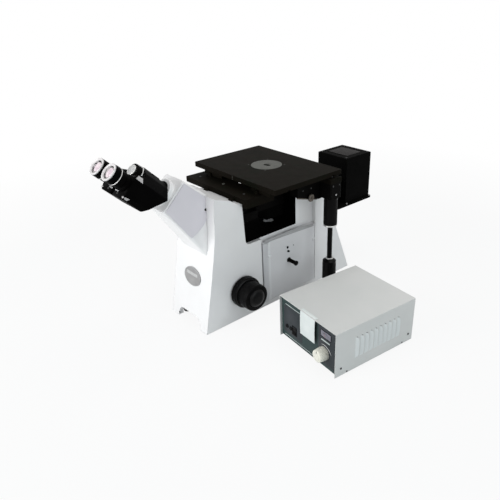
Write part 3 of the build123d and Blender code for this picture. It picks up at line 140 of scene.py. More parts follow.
def seen_directly(tree):
    """The largest of Light Path's camera, glossy and transmission rays: what an eye or a
    mirror sees, as against soft light."""
    path = add(tree, "LightPath")
    share = path.outputs["Is Camera Ray"]
    for ray in ("Is Glossy Ray", "Is Transmission Ray"):
        larger = add(tree, "Math")
        larger.operation = "MAXIMUM"
        join(tree, (share, larger.inputs[0]), (path.outputs[ray], larger.inputs[1]))
        share = larger.outputs[0]
    return share


def paper(name, colour, near_share, near=0.8, far=1.6):
    """Diffuse paper mixed with its own light for direct looks: near_share of it close to the
    object, rising to all of it between near and far, in metres."""
    made = bpy.data.materials.new(name)
    made.use_nodes = True
    tree = made.node_tree
    tree.nodes.clear()
    output = add(tree, "OutputMaterial")
    mix = add(tree, "MixShader")
    rough = add(tree, "BsdfDiffuse", Color=(*colour, 1))
    light = add(tree, "Emission", Color=(1, 1, 1, 1), Strength=1)
    where = add(tree, "TexCoord")
    away = add(tree, "VectorMath")
    away.operation = "LENGTH"
    fade = add(tree, "MapRange", From_Min=near, From_Max=far, To_Min=near_share, To_Max=1)
    share = add(tree, "Math")
    share.operation = "MULTIPLY"
    join(tree, (where.outputs["Object"], away.inputs[0]), (away.outputs["Value"], fade.inputs["Value"]),
         (seen_directly(tree), share.inputs[0]), (fade.outputs["Result"], share.inputs[1]),
         (share.outputs[0], mix.inputs["Fac"]), (rough.outputs[0], mix.inputs[1]),
         (light.outputs[0], mix.inputs[2]), (mix.outputs[0], output.inputs["Surface"]))
    return made


floor_half = 6
floor_mesh = bpy.data.meshes.new("floor")
floor_corners = [(x * floor_half, y * floor_half, 0) for x, y in ((-1, -1), (1, -1), (1, 1), (-1, 1))]
floor_mesh.from_pydata(floor_corners, [], [(0, 1, 2, 3)])
floor = placed("floor", floor_mesh)
floor_mesh.materials.append(paper("floor_paper", (0.62, 0.65, 0.66), 0.9))

world = bpy.data.worlds.new("studio")
world.use_nodes = True
scene.world = world
world_tree = world.node_tree
sky = world_tree.nodes["Background"]
seen = add(world_tree, "Background", Color=(1, 1, 1, 1))
sky.inputs["Color"].default_value = (0.96, 0.98, 1, 1)
sky.inputs["Strength"].default_value = 0.36
world_mix = add(world_tree, "MixShader")
join(world_tree, (seen_directly(world_tree), world_mix.inputs["Fac"]), (sky.outputs[0], world_mix.inputs[1]),
     (seen.outputs[0], world_mix.inputs[2]),
     (world_mix.outputs[0], world_tree.nodes["World Output"].inputs["Surface"]))


def lamp(name, place, target, size, watts, colour=(1, 1, 1)):
    """A square soft lamp at a place, turned so that its -Z points at the target."""
    data = bpy.data.lights.new(name, "AREA")
    data.size = size
    data.energy = watts
    data.color = colour
    made = placed(name, data)
    made.location = place
    made.rotation_euler = (Vector(target) - Vector(place)).to_track_quat("-Z", "Y").to_euler()
    return made


aim = (0.05, 0, 0.2)
lamp("front_lamp", (-0.5, -2.6, 1.1), aim, 1.6, 56)
lamp("top_lamp", (0.2, 0.6, 2.6), aim, 1.8, 24, (1, 0.98, 0.95))
lamp("side_lamp", (2.6, -0.2, 1), aim, 1.6, 20, (0.91, 0.98, 1))
print("lamps:", [light.name for light in bpy.data.lights])

# %% [markdown]
# Finishes
#
# Paint, anodising and moulded plastic are never one flat colour. Each finish here is the
# same small recipe: a slow noise moves the colour between shades, a second one moves the
# roughness, a fine third one is the grain of the surface, and a rounded normal catches the
# light on edges. All of them read object coordinates, which on these objects are metres in
# the model's frame, so a grain has its real size. The four numbers that follow each roughness
# are sizes in millimetres.


# %% The recipe for a finish
def finish(name, shades, rough, grain, grain_size, patch, edge, metal=0.0, specular=0.5,
           coat=0, rough_span=0.06, see=1):
    """A material whose colour is a noise ramp over the shades, where one number is a grey. In mm:
    the grain's depth and width, the size of its patches, and the radius its edges seem to have."""
    shades = [shade if isinstance(shade, tuple) else (shade,) * 3 for shade in shades]
    made = bpy.data.materials.new(name)
    made.use_nodes = True
    tree = made.node_tree
    shader = tree.nodes["Principled BSDF"]
    for socket, value in (("Metallic", metal), ("Specular IOR Level", specular), ("Coat Weight", coat),
                          ("Coat Roughness", 0.12), ("Transmission Weight", 1 - see)):
        shader.inputs[socket].default_value = value
    where = add(tree, "TexCoord").outputs["Object"]
    slow = add(tree, "TexNoise", Scale=1 / (patch * mm), Detail=4)
    wear = add(tree, "TexNoise", Scale=3 / (patch * mm), Detail=6)
    fine = add(tree, "TexNoise", Scale=1 / (grain_size * mm), Detail=2)
    ramp = add(tree, "ValToRGB")
    stops = ramp.color_ramp.elements
    ramp_from, ramp_to = 0.3, 0.7
    stops[0].position, stops[1].position = ramp_from, ramp_to
    stops[0].color, stops[1].color = (*shades[0], 1), (*shades[-1], 1)
    for index in range(1, len(shades) - 1):
        stop = stops.new(ramp_from + (ramp_to - ramp_from) * index / (len(shades) - 1))
        stop.color = (*shades[index], 1)
    span = add(tree, "MapRange", To_Min=max(0.02, rough - rough_span), To_Max=rough + rough_span)
    round_off = add(tree, "Bevel", Radius=edge * mm)
    round_off.samples = 4
    bump = add(tree, "Bump", Strength=0.6, Distance=grain * mm)
    join(tree, (where, slow.inputs["Vector"]), (slow.outputs["Fac"], ramp.inputs["Fac"]),
         (ramp.outputs["Color"], shader.inputs["Base Color"]),
         (where, wear.inputs["Vector"]), (wear.outputs["Fac"], span.inputs["Value"]),
         (span.outputs["Result"], shader.inputs["Roughness"]),
         (where, fine.inputs["Vector"]), (fine.outputs["Fac"], bump.inputs["Height"]),
         (round_off.outputs["Normal"], bump.inputs["Normal"]),
         (bump.outputs["Normal"], shader.inputs["Normal"]))
    return made


white_enamel = finish("white_enamel", [(0.79, 0.785, 0.785), (0.84, 0.84, 0.845)], 0.34, 0.08, 1.2, 120, 2.2,
    coat=0.25)
grey_enamel = finish("grey_enamel", [(0.68, 0.68, 0.69), (0.73, 0.73, 0.745)], 0.38, 0.08, 1.2, 100, 1.5)
# Painted shade: the lilac grey that the mount's tilted side covers show beside the white mount.
lilac_painted_shade = finish("lilac_painted_shade", [(0.65, 0.63, 0.68), (0.7, 0.68, 0.72)], 0.36, 0.06, 1.2, 100, 1.2)
unit_enamel = finish("unit_enamel", [(0.56, 0.575, 0.565), (0.61, 0.615, 0.605)], 0.42, 0.12, 0.9, 120, 1.2)
crinkle_black = finish("crinkle_black", [(0.0012, 0.0012, 0.0011), (0.0024, 0.0023, 0.0022)], 0.65, 0.3, 1.1,
    40, 0.8, specular=0.015)
flocked_black = finish("flocked_black", [0.0008, 0.0016], 0.9, 0.2, 0.6, 30, 0.8, specular=0.01)
black_anodised = finish("black_anodised", [(0.0052, 0.005, 0.0036), (0.0076, 0.0062, 0.0046),
    (0.005, 0.006, 0.0038)], 0.55, 0.04, 0.5, 70, 0.9, specular=0.012)
deep_black = finish("deep_black", [(0.0016, 0.0015, 0.0014), (0.003, 0.0028, 0.0026)], 0.5, 0.04, 0.5, 50,
    0.6, specular=0.02)
moulded_black = finish("moulded_black", [(0.0008, 0.0007, 0.0008), (0.0016, 0.0015, 0.0015)], 0.42, 0.12,
    0.7, 30, 1.4, specular=0.012)
gloss_black = finish("gloss_black", [(0.0016, 0.0015, 0.0016), (0.003, 0.0029, 0.003)], 0.3, 0.04, 1, 30,
    0.8, specular=0.05, coat=0.02)
soft_rubber = finish("soft_rubber", [0.02, (0.035, 0.034, 0.033)], 0.8, 0.2, 0.6, 20, 0.8, specular=0.2)
satin_metal = finish("satin_metal", [(0.5, 0.5, 0.49), (0.62, 0.62, 0.61)], 0.36, 0.04, 0.3, 20, 0.6, metal=1)
pale_grey = finish("pale_grey", [0.6, 0.68], 0.4, 0.05, 0.5, 20, 0.8)
ivory = finish("ivory", [(0.7, 0.69, 0.6), (0.77, 0.76, 0.68)], 0.32, 0.04, 0.6, 20, 1, coat=0.3)
panel_green = finish("panel_green", [(0.026, 0.048, 0.046), (0.042, 0.06, 0.06)], 0.5, 0.06, 0.6, 50, 0.8,
    specular=0.1)
oval_metal = finish("oval_metal", [(0.27, 0.265, 0.265), (0.33, 0.325, 0.325)], 0.55, 0.06, 0.4, 20, 0.8,
    specular=0.2)
glass = finish("glass", [(0.9, 0.94, 0.95), (0.95, 0.97, 0.97)], 0.03, 0, 0.8, 20, 0.2, see=0,
    rough_span=0.01)
pale_rim = finish("pale_rim", [(0.58, 0.56, 0.56), (0.68, 0.66, 0.66)], 0.35, 0.03, 0.5, 10, 0.4)
coated_glass = finish("coated_glass", [(0.62, 0.5, 0.53), (0.74, 0.64, 0.67), (0.55, 0.42, 0.5)], 0.08, 0,
    0.8, 20, 0.2, specular=0.6, coat=0.8, rough_span=0.03)
dark_steel = finish("dark_steel", [0.03, 0.055], 0.45, 0.03, 0.4, 10, 0.3, metal=0.3, specular=0.2)
# A lighter copy of the unit's enamel: painted light on the lit slopes of the louvre hoods.
louvre_painted_light = finish("louvre_painted_light", [(0.66, 0.69, 0.69), (0.71, 0.74, 0.74)], 0.4, 0.1, 0.9, 80, 0.8)
field_grey = finish("field_grey", [(0.034, 0.04, 0.044), (0.048, 0.053, 0.059)], 0.5, 0.06, 0.6, 30, 0.3,
    specular=0.1)
plate_pale = finish("plate_pale", [0.42, 0.5], 0.4, 0.04, 0.5, 10, 0.4)
strip_grey = finish("strip_grey", [(0.57, 0.575, 0.59), (0.61, 0.615, 0.63)], 0.4, 0.06, 1.2, 60, 0.6)
strip_pale = finish("strip_pale", [(0.72, 0.73, 0.74), (0.78, 0.79, 0.8)], 0.35, 0.06, 1.2, 60, 0.6)
# Pale grey for painted highlights: the glints on the black head boxes and on one screw of the stage drive.
painted_highlight = finish("painted_highlight", [(0.4, 0.39, 0.39), (0.52, 0.51, 0.51)], 0.4, 0.03, 0.4, 6, 0.4,
    specular=0.3)
ring_black = finish("ring_black", [0.003, 0.006], 0.25, 0.03, 1, 20, 0.6, specular=0.22, coat=0.05)
drum_black = finish("drum_black", [0.002, 0.004], 0.36, 0.03, 1, 20, 0.6, specular=0.12)
# A mid grey for the oval plate's rim and for painted light: the painted shadow band on the side covers and
# the painted light streak on the head's boxes.
rim_grey_and_painted_light = finish("rim_grey_and_painted_light", [(0.35, 0.35, 0.355), (0.41, 0.41, 0.415)], 0.45, 0.06, 1.2, 50, 0.6)
screen_grey = finish("screen_grey", [(0.014, 0.013, 0.013), (0.03, 0.028, 0.028)], 0.7, 0.4, 1.6, 4, 0.4,
    specular=0.1)
dark_brass = finish("dark_brass", [(0.1, 0.085, 0.07), (0.17, 0.145, 0.12), (0.07, 0.07, 0.075)], 0.4, 0.05,
    0.6, 6, 0.4, metal=0.5, specular=0.3)
insert_metal = finish("insert_metal", [(0.066, 0.068, 0.06), (0.09, 0.092, 0.082)], 0.5, 0.05, 0.3, 20, 0.6,
    specular=0.12)
lens_black = finish("lens_black", [(0.004, 0.004, 0.005), (0.008, 0.007, 0.009)], 0.1, 0, 0.8, 10, 0.2,
    specular=0.3, coat=0.3)
line_paint = finish("line_paint", [(0.42, 0.47, 0.46), (0.5, 0.54, 0.53)], 0.5, 0.03, 0.4, 10, 0.2,
    specular=0.3)
meter_face = finish("meter_face", [(0.13, 0.13, 0.16), (0.19, 0.18, 0.22)], 0.3, 0.02, 0.6, 20, 0.2, coat=0.1)
tab_paper = finish("tab_paper", [(0.62, 0.67, 0.66), (0.7, 0.74, 0.73)], 0.6, 0.06, 0.6, 30, 0.3,
    specular=0.25)
band_yellow = finish("band_yellow", [(0.55, 0.4, 0.05), (0.62, 0.46, 0.08)], 0.4, 0, 0.8, 10, 0.2)
band_red = finish("band_red", [(0.42, 0.03, 0.02), (0.5, 0.05, 0.03)], 0.4, 0, 0.8, 10, 0.2)
band_blue = finish("band_blue", [(0.03, 0.1, 0.42), (0.05, 0.14, 0.5)], 0.4, 0, 0.8, 10, 0.2)
band_green = finish("band_green", [(0.04, 0.3, 0.08), (0.06, 0.36, 0.12)], 0.4, 0, 0.8, 10, 0.2)
mirror = finish("mirror", [(0.86, 0.88, 0.9), (0.9, 0.91, 0.92)], 0.05, 0, 0.8, 20, 0.2, metal=1,
    rough_span=0.02)
print("finishes:", len(bpy.data.materials))

# %% [markdown]
# Dressing the solids
#
# A solid keeps its shape from the model and only takes a material. The table below says
# which finish each one has on the real instrument; the mount covers' lilac grey is painted shade.

# %% Give every solid its finish
dressed = {
    white_enamel: "stand_casting head_mount head_collar",
    grey_enamel: "side_cover_right side_cover_left",
    # the covers' lilac grey is painted shade
    lilac_painted_shade: "mount_cover_right mount_cover_left",
    unit_enamel: "power_cover",
    crinkle_black: "lamp_house lamp_lid lamp_base lamp_tube base_plate power_chassis",
    flocked_black: "bay_liner",
    black_anodised: "stage_base stage_carriage stage_top optics_bridge lens_cell selector_slide",
    deep_black: "drive_housing focus_carriage turret nosepiece_bracket objective_low objective_medium "
    "objective_high objective_long selector_rod head_barrel",
    moulded_black: "prism_box_right prism_box_left eyepiece_right eyepiece_left diopter_ring",
    gloss_black: "coarse_knob_right coarse_knob_left fine_knob_right fine_knob_left y_knob x_knob "
    "turret_plug power_switch",
    soft_rubber: "rubber_feet power_feet",
    satin_metal: "coarse_shaft fine_shaft",
    dark_steel: "focus_guide",
    insert_metal: "stage_insert",
    pale_grey: "hinge_cap",
    ivory: "brightness_knob",
    panel_green: "power_panel",
    oval_metal: "front_plate",
    glass: "beam_splitter collector_lens lamp_bulb selector_prism tube_lens",
    mirror: "lower_mirror",
}
for material, names in dressed.items():
    for name in names.split():
        solid = frame["nodes"][name]
        solid.data.materials.clear()
        solid.data.materials.append(material)
bare = set(frame["nodes"]) - {name for names in dressed.values() for name in names.split()}
print("solids without a finish:", sorted(bare))

# %% [markdown]
# Surfaces from points
#
# The small pieces that follow are too fine for the solid model: rims, screws, knurls, lines
# and springs. Each could be pushed together from stock shapes by hand. Here each one is a
# formula instead: a point for every pair of two parameters, worked out for the whole grid at
# once with numpy. Changing one number then redraws the piece, and nothing has to be moved by
# hand.

# %% Turn grids of points into a mesh
made_pieces = []
rightward, rearward, up = np.eye(3)
both_sides = ((1, "right"), (-1, "left"))


def mended(mesh, near=0.0, outward=True):
    """Merges points nearer than near, in metres, and turns every face outward."""
    work = bmesh.new()
    work.from_mesh(mesh)
    if near:
        bmesh.ops.remove_doubles(work, verts=work.verts, dist=near)
    if outward:
        bmesh.ops.recalc_face_normals(work, faces=work.faces)
    work.to_mesh(mesh)
    work.free()


def piece_of(mesh, name, body, look, sharp):
    """A mesh as a piece that rides a body: smooth, but for edges over that angle in degrees."""
    mesh.shade_smooth()
    mesh.set_sharp_from_angle(angle=radians(sharp))
    mesh.materials.clear()
    mesh.materials.append(look)
    piece = placed(name, mesh)
    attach(piece, body)
    made_pieces.append(piece)
    return piece


def skin(name, grids, body, look, sharp=38):
    """A piece from grids of points (rows, columns, 3): each row is closed into a ring, rows
    are joined by quads, and the first and last ring are filled. Rings of no size make poles."""
    points, faces, first = [], [], 0
    for grid in grids:
        rows, columns = grid.shape[:2]
        index = first + np.arange(rows * columns).reshape(rows, columns)
        ringed = np.hstack((index, index[:, :1]))
        quads = np.stack((ringed[:-1, :-1], ringed[:-1, 1:], ringed[1:, 1:], ringed[1:, :-1]), axis=-1)
        faces += quads.reshape(-1, 4).tolist()
        faces += [index[0, ::-1].tolist(), index[-1].tolist()]
        points.append(grid.reshape(-1, 3))
        first += rows * columns
    mesh = bpy.data.meshes.new(name)
    mesh.from_pydata(np.vstack(points).tolist(), [], faces)
    mended(mesh, 2e-6)
    return piece_of(mesh, name, body, look, sharp)


def square_to(axis):
    """The axis as a unit vector, and two more that are square to it and to each other."""
    axis = np.array(axis, float) / np.linalg.norm(axis)
    helper = (0, 0, 1) if abs(axis[2]) < 0.9 else (1, 0, 0)
    side = np.cross(helper, axis)
    side = side / np.linalg.norm(side)
    return axis, side, np.cross(axis, side)


def turned(profile, centre, axis, steps=64, grips=0, grip_deep=0.0):
    """Rows of (radius, height) in mm, turned: a row at angle t is centre + height * axis
    + radius * (cos t * side + sin t * other). Grips make the radius wave by grip_deep."""
    axis, side, other = square_to(axis)
    radius, height = np.array(profile, float).T * mm
    turn = np.linspace(0, 2 * pi, steps, endpoint=False)
    spoke = np.outer(np.cos(turn), side) + np.outer(np.sin(turn), other)
    wave = 0.5 * grip_deep * mm * (np.cos(grips * turn) - 1) if grips else np.zeros(steps)
    reach = np.maximum(radius[:, None] + wave[None, :] * (radius[:, None] > 0), 0)
    return np.array(centre) + height[:, None, None] * axis + reach[:, :, None] * spoke[None]


def looped(profile, centre, axis, **more):
    """The same for a closed profile that doesn't reach the axis: a ring."""
    return turned(list(profile) + [profile[0]], centre, axis, **more)


def lifted(height, profile):
    """The rows of a profile, all of them higher by this height."""
    return [(radius, height + high) for radius, high in profile]


def rounded_loop(half_x, half_y, corner, steps=6):
    """The rim of a rounded rectangle: four quarter circles of the corner's radius, as (x, y)."""
    turn = np.linspace(0, pi / 2, steps)
    quarters = []
    for number, (x, y) in enumerate(((1, 1), (-1, 1), (-1, -1), (1, -1))):
        angle = turn + number * pi / 2
        quarters.append(np.stack((x * (half_x - corner) + corner * np.cos(angle),
            y * (half_y - corner) + corner * np.sin(angle)), axis=1))
    return np.vstack(quarters)


def slab(centre, across, up, half_x, half_y, corner, thick, edge=0.3):
    """A plate with rounded corners and edges: its rim is drawn in by the edge at its foot and
    top. Sizes in mm; across and up span the plate and its top looks along across x up."""
    across, up = np.array(across, float), np.array(up, float)
    out = np.cross(across, up)
    rings = []
    for inset, height in ((edge, 0), (0, edge), (0, thick - edge), (edge * 0.3, thick - edge * 0.3),
                          (edge, thick)):
        rim = rounded_loop(half_x - inset, half_y - inset, max(corner - inset, 0.05)) * mm
        rings.append(np.array(centre) + rim[:, :1] * across + rim[:, 1:] * up + height * mm * out)
    return np.array(rings)


def prism(corners, across, along, upward, base, low, high):
    """A straight prism: its outline lies in the plane of along and upward, and it runs from
    low to high in the direction across. Sizes in mm from the base point."""
    outline = np.array([np.array(along) * a + np.array(upward) * u for a, u in corners]) * mm
    return np.stack([np.array(base) + outline + np.array(across) * reach * mm for reach in (low, high)])


def swept(path, radius, steps=12):
    """A round wire: at each point of the path, a circle square to its run. The radius (mm) is
    one for all or one for each point, and the circle's directions keep the wire from twisting."""
    path = np.array(path, float)
    run = np.gradient(path, axis=0)
    run /= np.linalg.norm(run, axis=1)[:, None]
    side = np.cross(run, run[0] + np.array((0.31, 0.17, 0.93)))
    side /= np.linalg.norm(side, axis=1)[:, None]
    other = np.cross(run, side)
    turn = np.linspace(0, 2 * pi, steps, endpoint=False)
    ring = np.cos(turn)[None, :, None] * side[:, None] + np.sin(turn)[None, :, None] * other[:, None]
    return path[:, None] + np.reshape(radius, (-1, 1, 1)) * mm * ring


def screw(centre, axis, radius, high=1.2, socket=0.5):
    """A screw head: a low dome with a round socket of that share of its radius."""
    deep = high * 0.35
    profile = [(0, high * 0.2), (radius * socket * 0.9, high * 0.2), (radius * socket, deep + high * 0.4),
               (radius * 0.72, high), (radius * 0.92, high * 0.86), (radius, high * 0.5), (radius, -0.6),
               (0, -0.6)]
    return turned(profile, centre, axis, steps=28)


def screws(name, places, axis, radius, high, body, look, socket=0.5):
    """A piece of equal screw heads at places in mm."""
    return skin(name, [screw(np.array(place) * mm, axis, radius, high, socket) for place in places], body,
                look)


def carved(name, node, prisms, body, look, sharp=30):
    """A merged copy of a solid with prisms cut out of it; the copy stands for the solid."""
    mesh = frame["nodes"][node].data.copy()
    mended(mesh, 1e-6, outward=False)
    piece = placed(name, mesh)
    cutters = []
    for number, grid in enumerate(prisms):
        points = grid.reshape(-1, 3)
        count = grid.shape[1]
        walls = [(i, (i + 1) % count, count + (i + 1) % count, count + i) for i in range(count)]
        block = bpy.data.meshes.new("cutter_%d" % number)
        block.from_pydata(points.tolist(), [],
            walls + [tuple(range(count))[::-1], tuple(range(count, 2 * count))])
        mended(block)
        cutter = placed("cutter_%d" % number, block)
        cutters.append(cutter)
        cut = piece.modifiers.new("cut_%d" % number, "BOOLEAN")
        cut.operation, cut.solver, cut.object = "DIFFERENCE", "EXACT", cutter
    depsgraph = bpy.context.evaluated_depsgraph_get()
    finished = bpy.data.meshes.new_from_object(piece.evaluated_get(depsgraph))
    for spare in cutters + [piece]:
        bpy.data.objects.remove(spare, do_unlink=True)
    piece = piece_of(finished, name, body, look, sharp)
    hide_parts(node)
    return piece


print("helpers ready; pieces so far:", len(made_pieces))

# %% [markdown]
# Eyepieces
#
# The eye lens sits in a pale ring at the end of a black barrel, with a dark gap round the
# glass, and a thin bright ring marks the barrel's foot. A lens is a cap of a sphere, so its
# profile is an arc; the rims are small closed loops turned round the tube's axis.

# %% Make the rims, eye lenses and foot rings
head_up = np.cross(head_axis, (1, 0, 0))
eye_across, eye_drop = 26.5, 31.5


def on_head(across, up, along):
    """A point given across, up and along the head's axis, in millimetres from its foot."""
    return head_foot + mm * (across * np.array((1, 0, 0)) + up * head_up + along * head_axis)


eye_rim = [(14.6, 149), (14.6, 150.4), (15.2, 151.6), (16.6, 152.5), (18.2, 152.9), (19.3, 152.6),
           (19.9, 151.8), (20, 150.4), (19.6, 149.4), (19.2, 149)]
lens_rim, lens_rise = 12.4, 2.6
arc = np.linspace(0, 1, 12)
eye_dome = [(lens_rim * t, 148.4 + lens_rise * (1 - t * t)) for t in arc]
eye_dome += [(lens_rim + 0.3, 148), (0, 147.6)]
foot_ring = [(18.2, 132.9), (19.6, 132.9), (20.15, 133.3), (20.25, 134), (20.15, 134.7), (19.6, 135.1),
    (18.2, 135.1)]
for side, where in both_sides:
    body = where + "_eyepiece"
    tube_foot = on_head(side * eye_across, -eye_drop, 0)
    skin("eye_rim_" + where, [looped(eye_rim, tube_foot, head_axis)], body, pale_rim)
    skin("eye_lens_" + where, [turned(eye_dome, tube_foot, head_axis)], body, coated_glass)
    skin("foot_ring_" + where, [looped(foot_ring, tube_foot, head_axis)], body, satin_metal)
print("eyepiece pieces:", len(made_pieces))

# %% [markdown]
# Trim of the viewing head and its mount
#
# Each black box has a painted highlight on its shoulder by the hinge, another round its low outer
# corner, and a painted streak of light and a dark screw low on its front. A screw head is a turned
# profile with a socket sunk in it, and a painted highlight is a straight prism over its outline.
# Between the boxes a narrow scale without numbers shows how far apart the eyepieces stand. The flat
# covers of the mount are held by one sunk screw each. The rear of each box slants to clear the mount,
# and its front steps down round the barrel's end: both are cut out of a copy of the solid, because a
# cut keeps the bores and the rounded edges as they are.

# %% Carve the prism boxes
rear_slope = [(10, -14), (16, -14), (52, -64), (52, -70), (10, -70)]
front_slope = [(80.5, 30), (80.5, 2), (110, -13.4), (110, 30)]
for side, where in both_sides:
    cuts = [prism(rear_slope, (side, 0, 0), head_axis, head_up, head_foot, -2, 60),
            prism(front_slope, (side, 0, 0), head_axis, head_up, head_foot, 0, 41)]
    carved_box = carved("carved_box_" + where, "prism_box_" + where, cuts, where + "_box", moulded_black)
    print("carved", where, "box:", len(carved_box.data.polygons), "faces")

# %% Make the painted highlights, the light streaks and screws of the head, and the spacing scale
shoulder_out = np.array((0.70, 0, 0)) + 0.714 * head_up
for side, where in both_sides:
    mirror_x = np.array((side, 1, 1))
    body = where + "_box"
    shoulder_side = np.array((side * 0.714, 0, 0)) - 0.70 * head_up
    # Painted highlights: pale plates on the shoulder and round the low outer corner, where the black box
    # catches the light.
    highlight_outline = [(5.2, 3.5), (-6.5, 3.5), (-6.5, 16.5), (4.8, 15.6), (11.5, 15)]
    skin("shoulder_highlight_" + where,
         [prism(highlight_outline, shoulder_out * mirror_x, head_axis, shoulder_side, on_head(side * 38.5, -2.75, 95),
                -0.3, 0.5)],
         body, painted_highlight)
    side_part = [(93.5, -55), (105.5, -56.5), (105.5, -60.5), (98, -61)]
    front_part = [(41, -57.5), (48.6, -56.5), (48.6, -60.5), (45, -60.8)]
    skin("corner_highlight_" + where,
         [prism(side_part, (side, 0, 0), head_axis, head_up, on_head(side * 50, 0, 0), -0.3, 0.4),
          prism(front_part, head_axis, (side, 0, 0), head_up, on_head(0, 0, 107), -0.3, 0.4)], body,
          painted_highlight)
    # A painted highlight: a thin grey strip for the streak of light along the box's lower front.
    skin("front_light_streak_" + where,
         [slab(on_head(side * 13, -51.6, 106.8), (1, 0, 0), head_up, 7, 1.2, 0.9, 0.7, 0.2)],
         body, rim_grey_and_painted_light)
    skin("front_screw_" + where, [screw(on_head(side * 20, -55.5, 107), head_axis, 3, 1)], body, dark_steel)
    tube_ring = [(17, 107), (18.2, 107), (18.6, 107.6), (18.6, 110.4), (18.2, 111), (17, 111)]
    skin("tube_collar_" + where, [looped(tube_ring, on_head(side * eye_across, -eye_drop, 0), head_axis)],
         body, moulded_black)
scale_rows = [slab(on_head(0, 17, 86), (1, 0, 0), head_axis, 4.5, 6, 0.8, 0.8)]
skin("spacing_scale", scale_rows, "stand", pale_rim)
ticks = [slab(on_head(0, 17.7, 81.5 + 1.5 * number), rightward, head_axis, 2 + (number % 3 == 0),
              0.2, 0.15, 0.3, 0.05) for number in range(7)]
skin("spacing_ticks", ticks, "stand", moulded_black)
barrel_band = [(17, 79), (18.6, 79), (19, 79.6), (19, 81.6), (18.6, 82.2), (17, 82.2)]
skin("barrel_band", [looped(barrel_band, head_foot, head_axis)], "stand", satin_metal)
cap_ring = [(9, 97.2), (9, 98.6), (10.2, 98.9), (12.1, 98.5), (12.9, 97.6), (12.9, 95.4), (12.4, 95.1)]
skin("cap_ring", [looped(cap_ring, head_foot, head_axis)], "stand", satin_metal)
print("pieces so far:", len(made_pieces))

# %% Sink a screw in each of the mount's covers
def surface_at(node, start, direction):
    """Where a straight line meets a solid: the point and the normal there, metres."""
    found, place, normal = frame["nodes"][node].ray_cast(Vector(start), Vector(direction))[:3]
    print(node, "met" if found else "missed", np.round(np.array(place) / mm, 1).tolist())
    return np.array(place), np.array(normal)


for side, where in both_sides:
    place, outward = surface_at("mount_cover_" + where, (side * 0.3, -0.2246, 0.307), (-side, 0, 0))
    skin("mount_screw_" + where, [screw(place, outward, 3.2, 0.7, 0.62)], "stand", dark_steel)

# %% [markdown]
# Stage
#
# A pale index mark stands on the front edge of the top plate, and the plates are held with
# socket screws, whose heights follow the boxes of the solids.

# %% Make the stage's index mark and screws
top_low_corner, top_high_corner = (np.array(corner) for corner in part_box("stage_top"))
top_z = top_high_corner[2] / mm
index_at = (5.8 * mm, top_low_corner[1] - 0.0001, (top_z - 6) * mm)
skin("stage_index", [slab(index_at, rightward, up, 0.7, 5.2, 0.3, 0.25, 0.08)], "stage_x", insert_metal)
insert_turn = radians(45) + np.arange(4) * pi / 2
screws("insert_screws", [(45.5 * cos(a), 45.5 * sin(a), top_z - 0.4) for a in insert_turn], up, 2.2, 0.5,
       "stage_x", dark_steel)
base_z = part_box("stage_base")[1][2] / mm - 8
screws("base_front_screws", [(x, -124.5, base_z) for x in (-118, 62)], up, 3, 1, "stand", dark_steel)
screws("base_mid_screw", [(-29.8, -115.8, base_z)], up, 3.8, 1.3, "stand", insert_metal)
screws("base_rear_screws", [(x, 110, base_z) for x in (-118, -30, 62)], up, 3.4, 1.3, "stand", satin_metal)
carriage_z = 336
screws("carriage_screws", [(x, y, carriage_z) for x in (-122, -64, 64, 118) for y in (-90, 88)], up, 2.4, 1,
       "stage_y", dark_steel)
print("stage top at", round(top_z, 1), "mm; pieces so far:", len(made_pieces))

# %% [markdown]
# Stage drive
#
# Under the right side of the stage a dark brass rack runs down the sloping edge of the gusset,
# with a small toothed wheel beside it. A rack's edge is a zigzag: its height goes up and down
# with the distance along it. The upper knob ends in a bright ring, and both knobs have fine
# grip lines, which are a wave on the radius.

# %% Make the rack, the pinion and the knobs' grips
drive_centre = joint_axis("stage_y_turn")[0]
drive_x, drive_y = drive_centre[0] / mm, drive_centre[1] / mm
drive_foot = (drive_x * mm, drive_y * mm, 0)


def rack(start, run, tooth_up, count, pitch, tall, deep, thick):
    """A toothed bar: a zigzag edge of count teeth over a flat back, given thickness. At each
    point along the run the edge stands tall or tall - deep above the back."""
    run, tooth_up = np.array(run, float), np.array(tooth_up, float)
    across = np.cross(run, tooth_up)
    along = np.arange(4 * count + 1) * pitch / 4 * mm
    edge = (tall - deep * (np.arange(4 * count + 1) % 4 > 1)) * mm
    low = np.array(start) + along[:, None] * run
    high = low + edge[:, None] * tooth_up
    far = across * thick * mm
    return np.stack((low, high, high + far, low + far), axis=1)


gusset_long, gusset_drop = 72, 21
slope_run = np.array((0, gusset_long, -gusset_drop)) / hypot(gusset_long, gusset_drop)
slope_down = np.cross(rightward, -slope_run)
skin("stage_rack", [rack((0.1256, -0.010, 0.3035), slope_run, slope_down, 27, 2.6, 8.4, 2, 3)], "stage_y",
     dark_brass, sharp=20)
wheel = [(0, -0.2), (9.5, -0.2), (9.8, 0.2), (9.8, 3.4), (9.4, 3.8), (6, 3.8), (5.4, 3), (2.6, 3),
         (2.2, 4.6), (0, 4.8)]
skin("stage_pinion", [turned(wheel, (0.1285, 0.030, 0.289), (1, 0, 0), steps=120, grips=20, grip_deep=1.8)],
     "stage_y", dark_brass)
knob_grip = {"steps": 180, "grips": 60, "grip_deep": 0.5}
grip_low = [(16.9, 211.5), (17.4, 212), (17.5, 213), (17.5, 277), (17.4, 278), (16.9, 278.5)]
skin("y_knob_grip", [looped(grip_low, drive_foot, up, **knob_grip)], "stage_y_knob", gloss_black)
foot = [(14, 206.6), (16.8, 206.6), (17.5, 207), (17.75, 208), (17.75, 210.3), (17.5, 211),
        (14, 211)]
skin("y_knob_ring", [looped(foot, drive_foot, up)], "stage_y_knob", satin_metal)
grip_high = [(17.3, 52), (17.8, 52.5), (17.9, 53.5), (17.9, 98), (17.8, 99), (17.3, 99.5)]
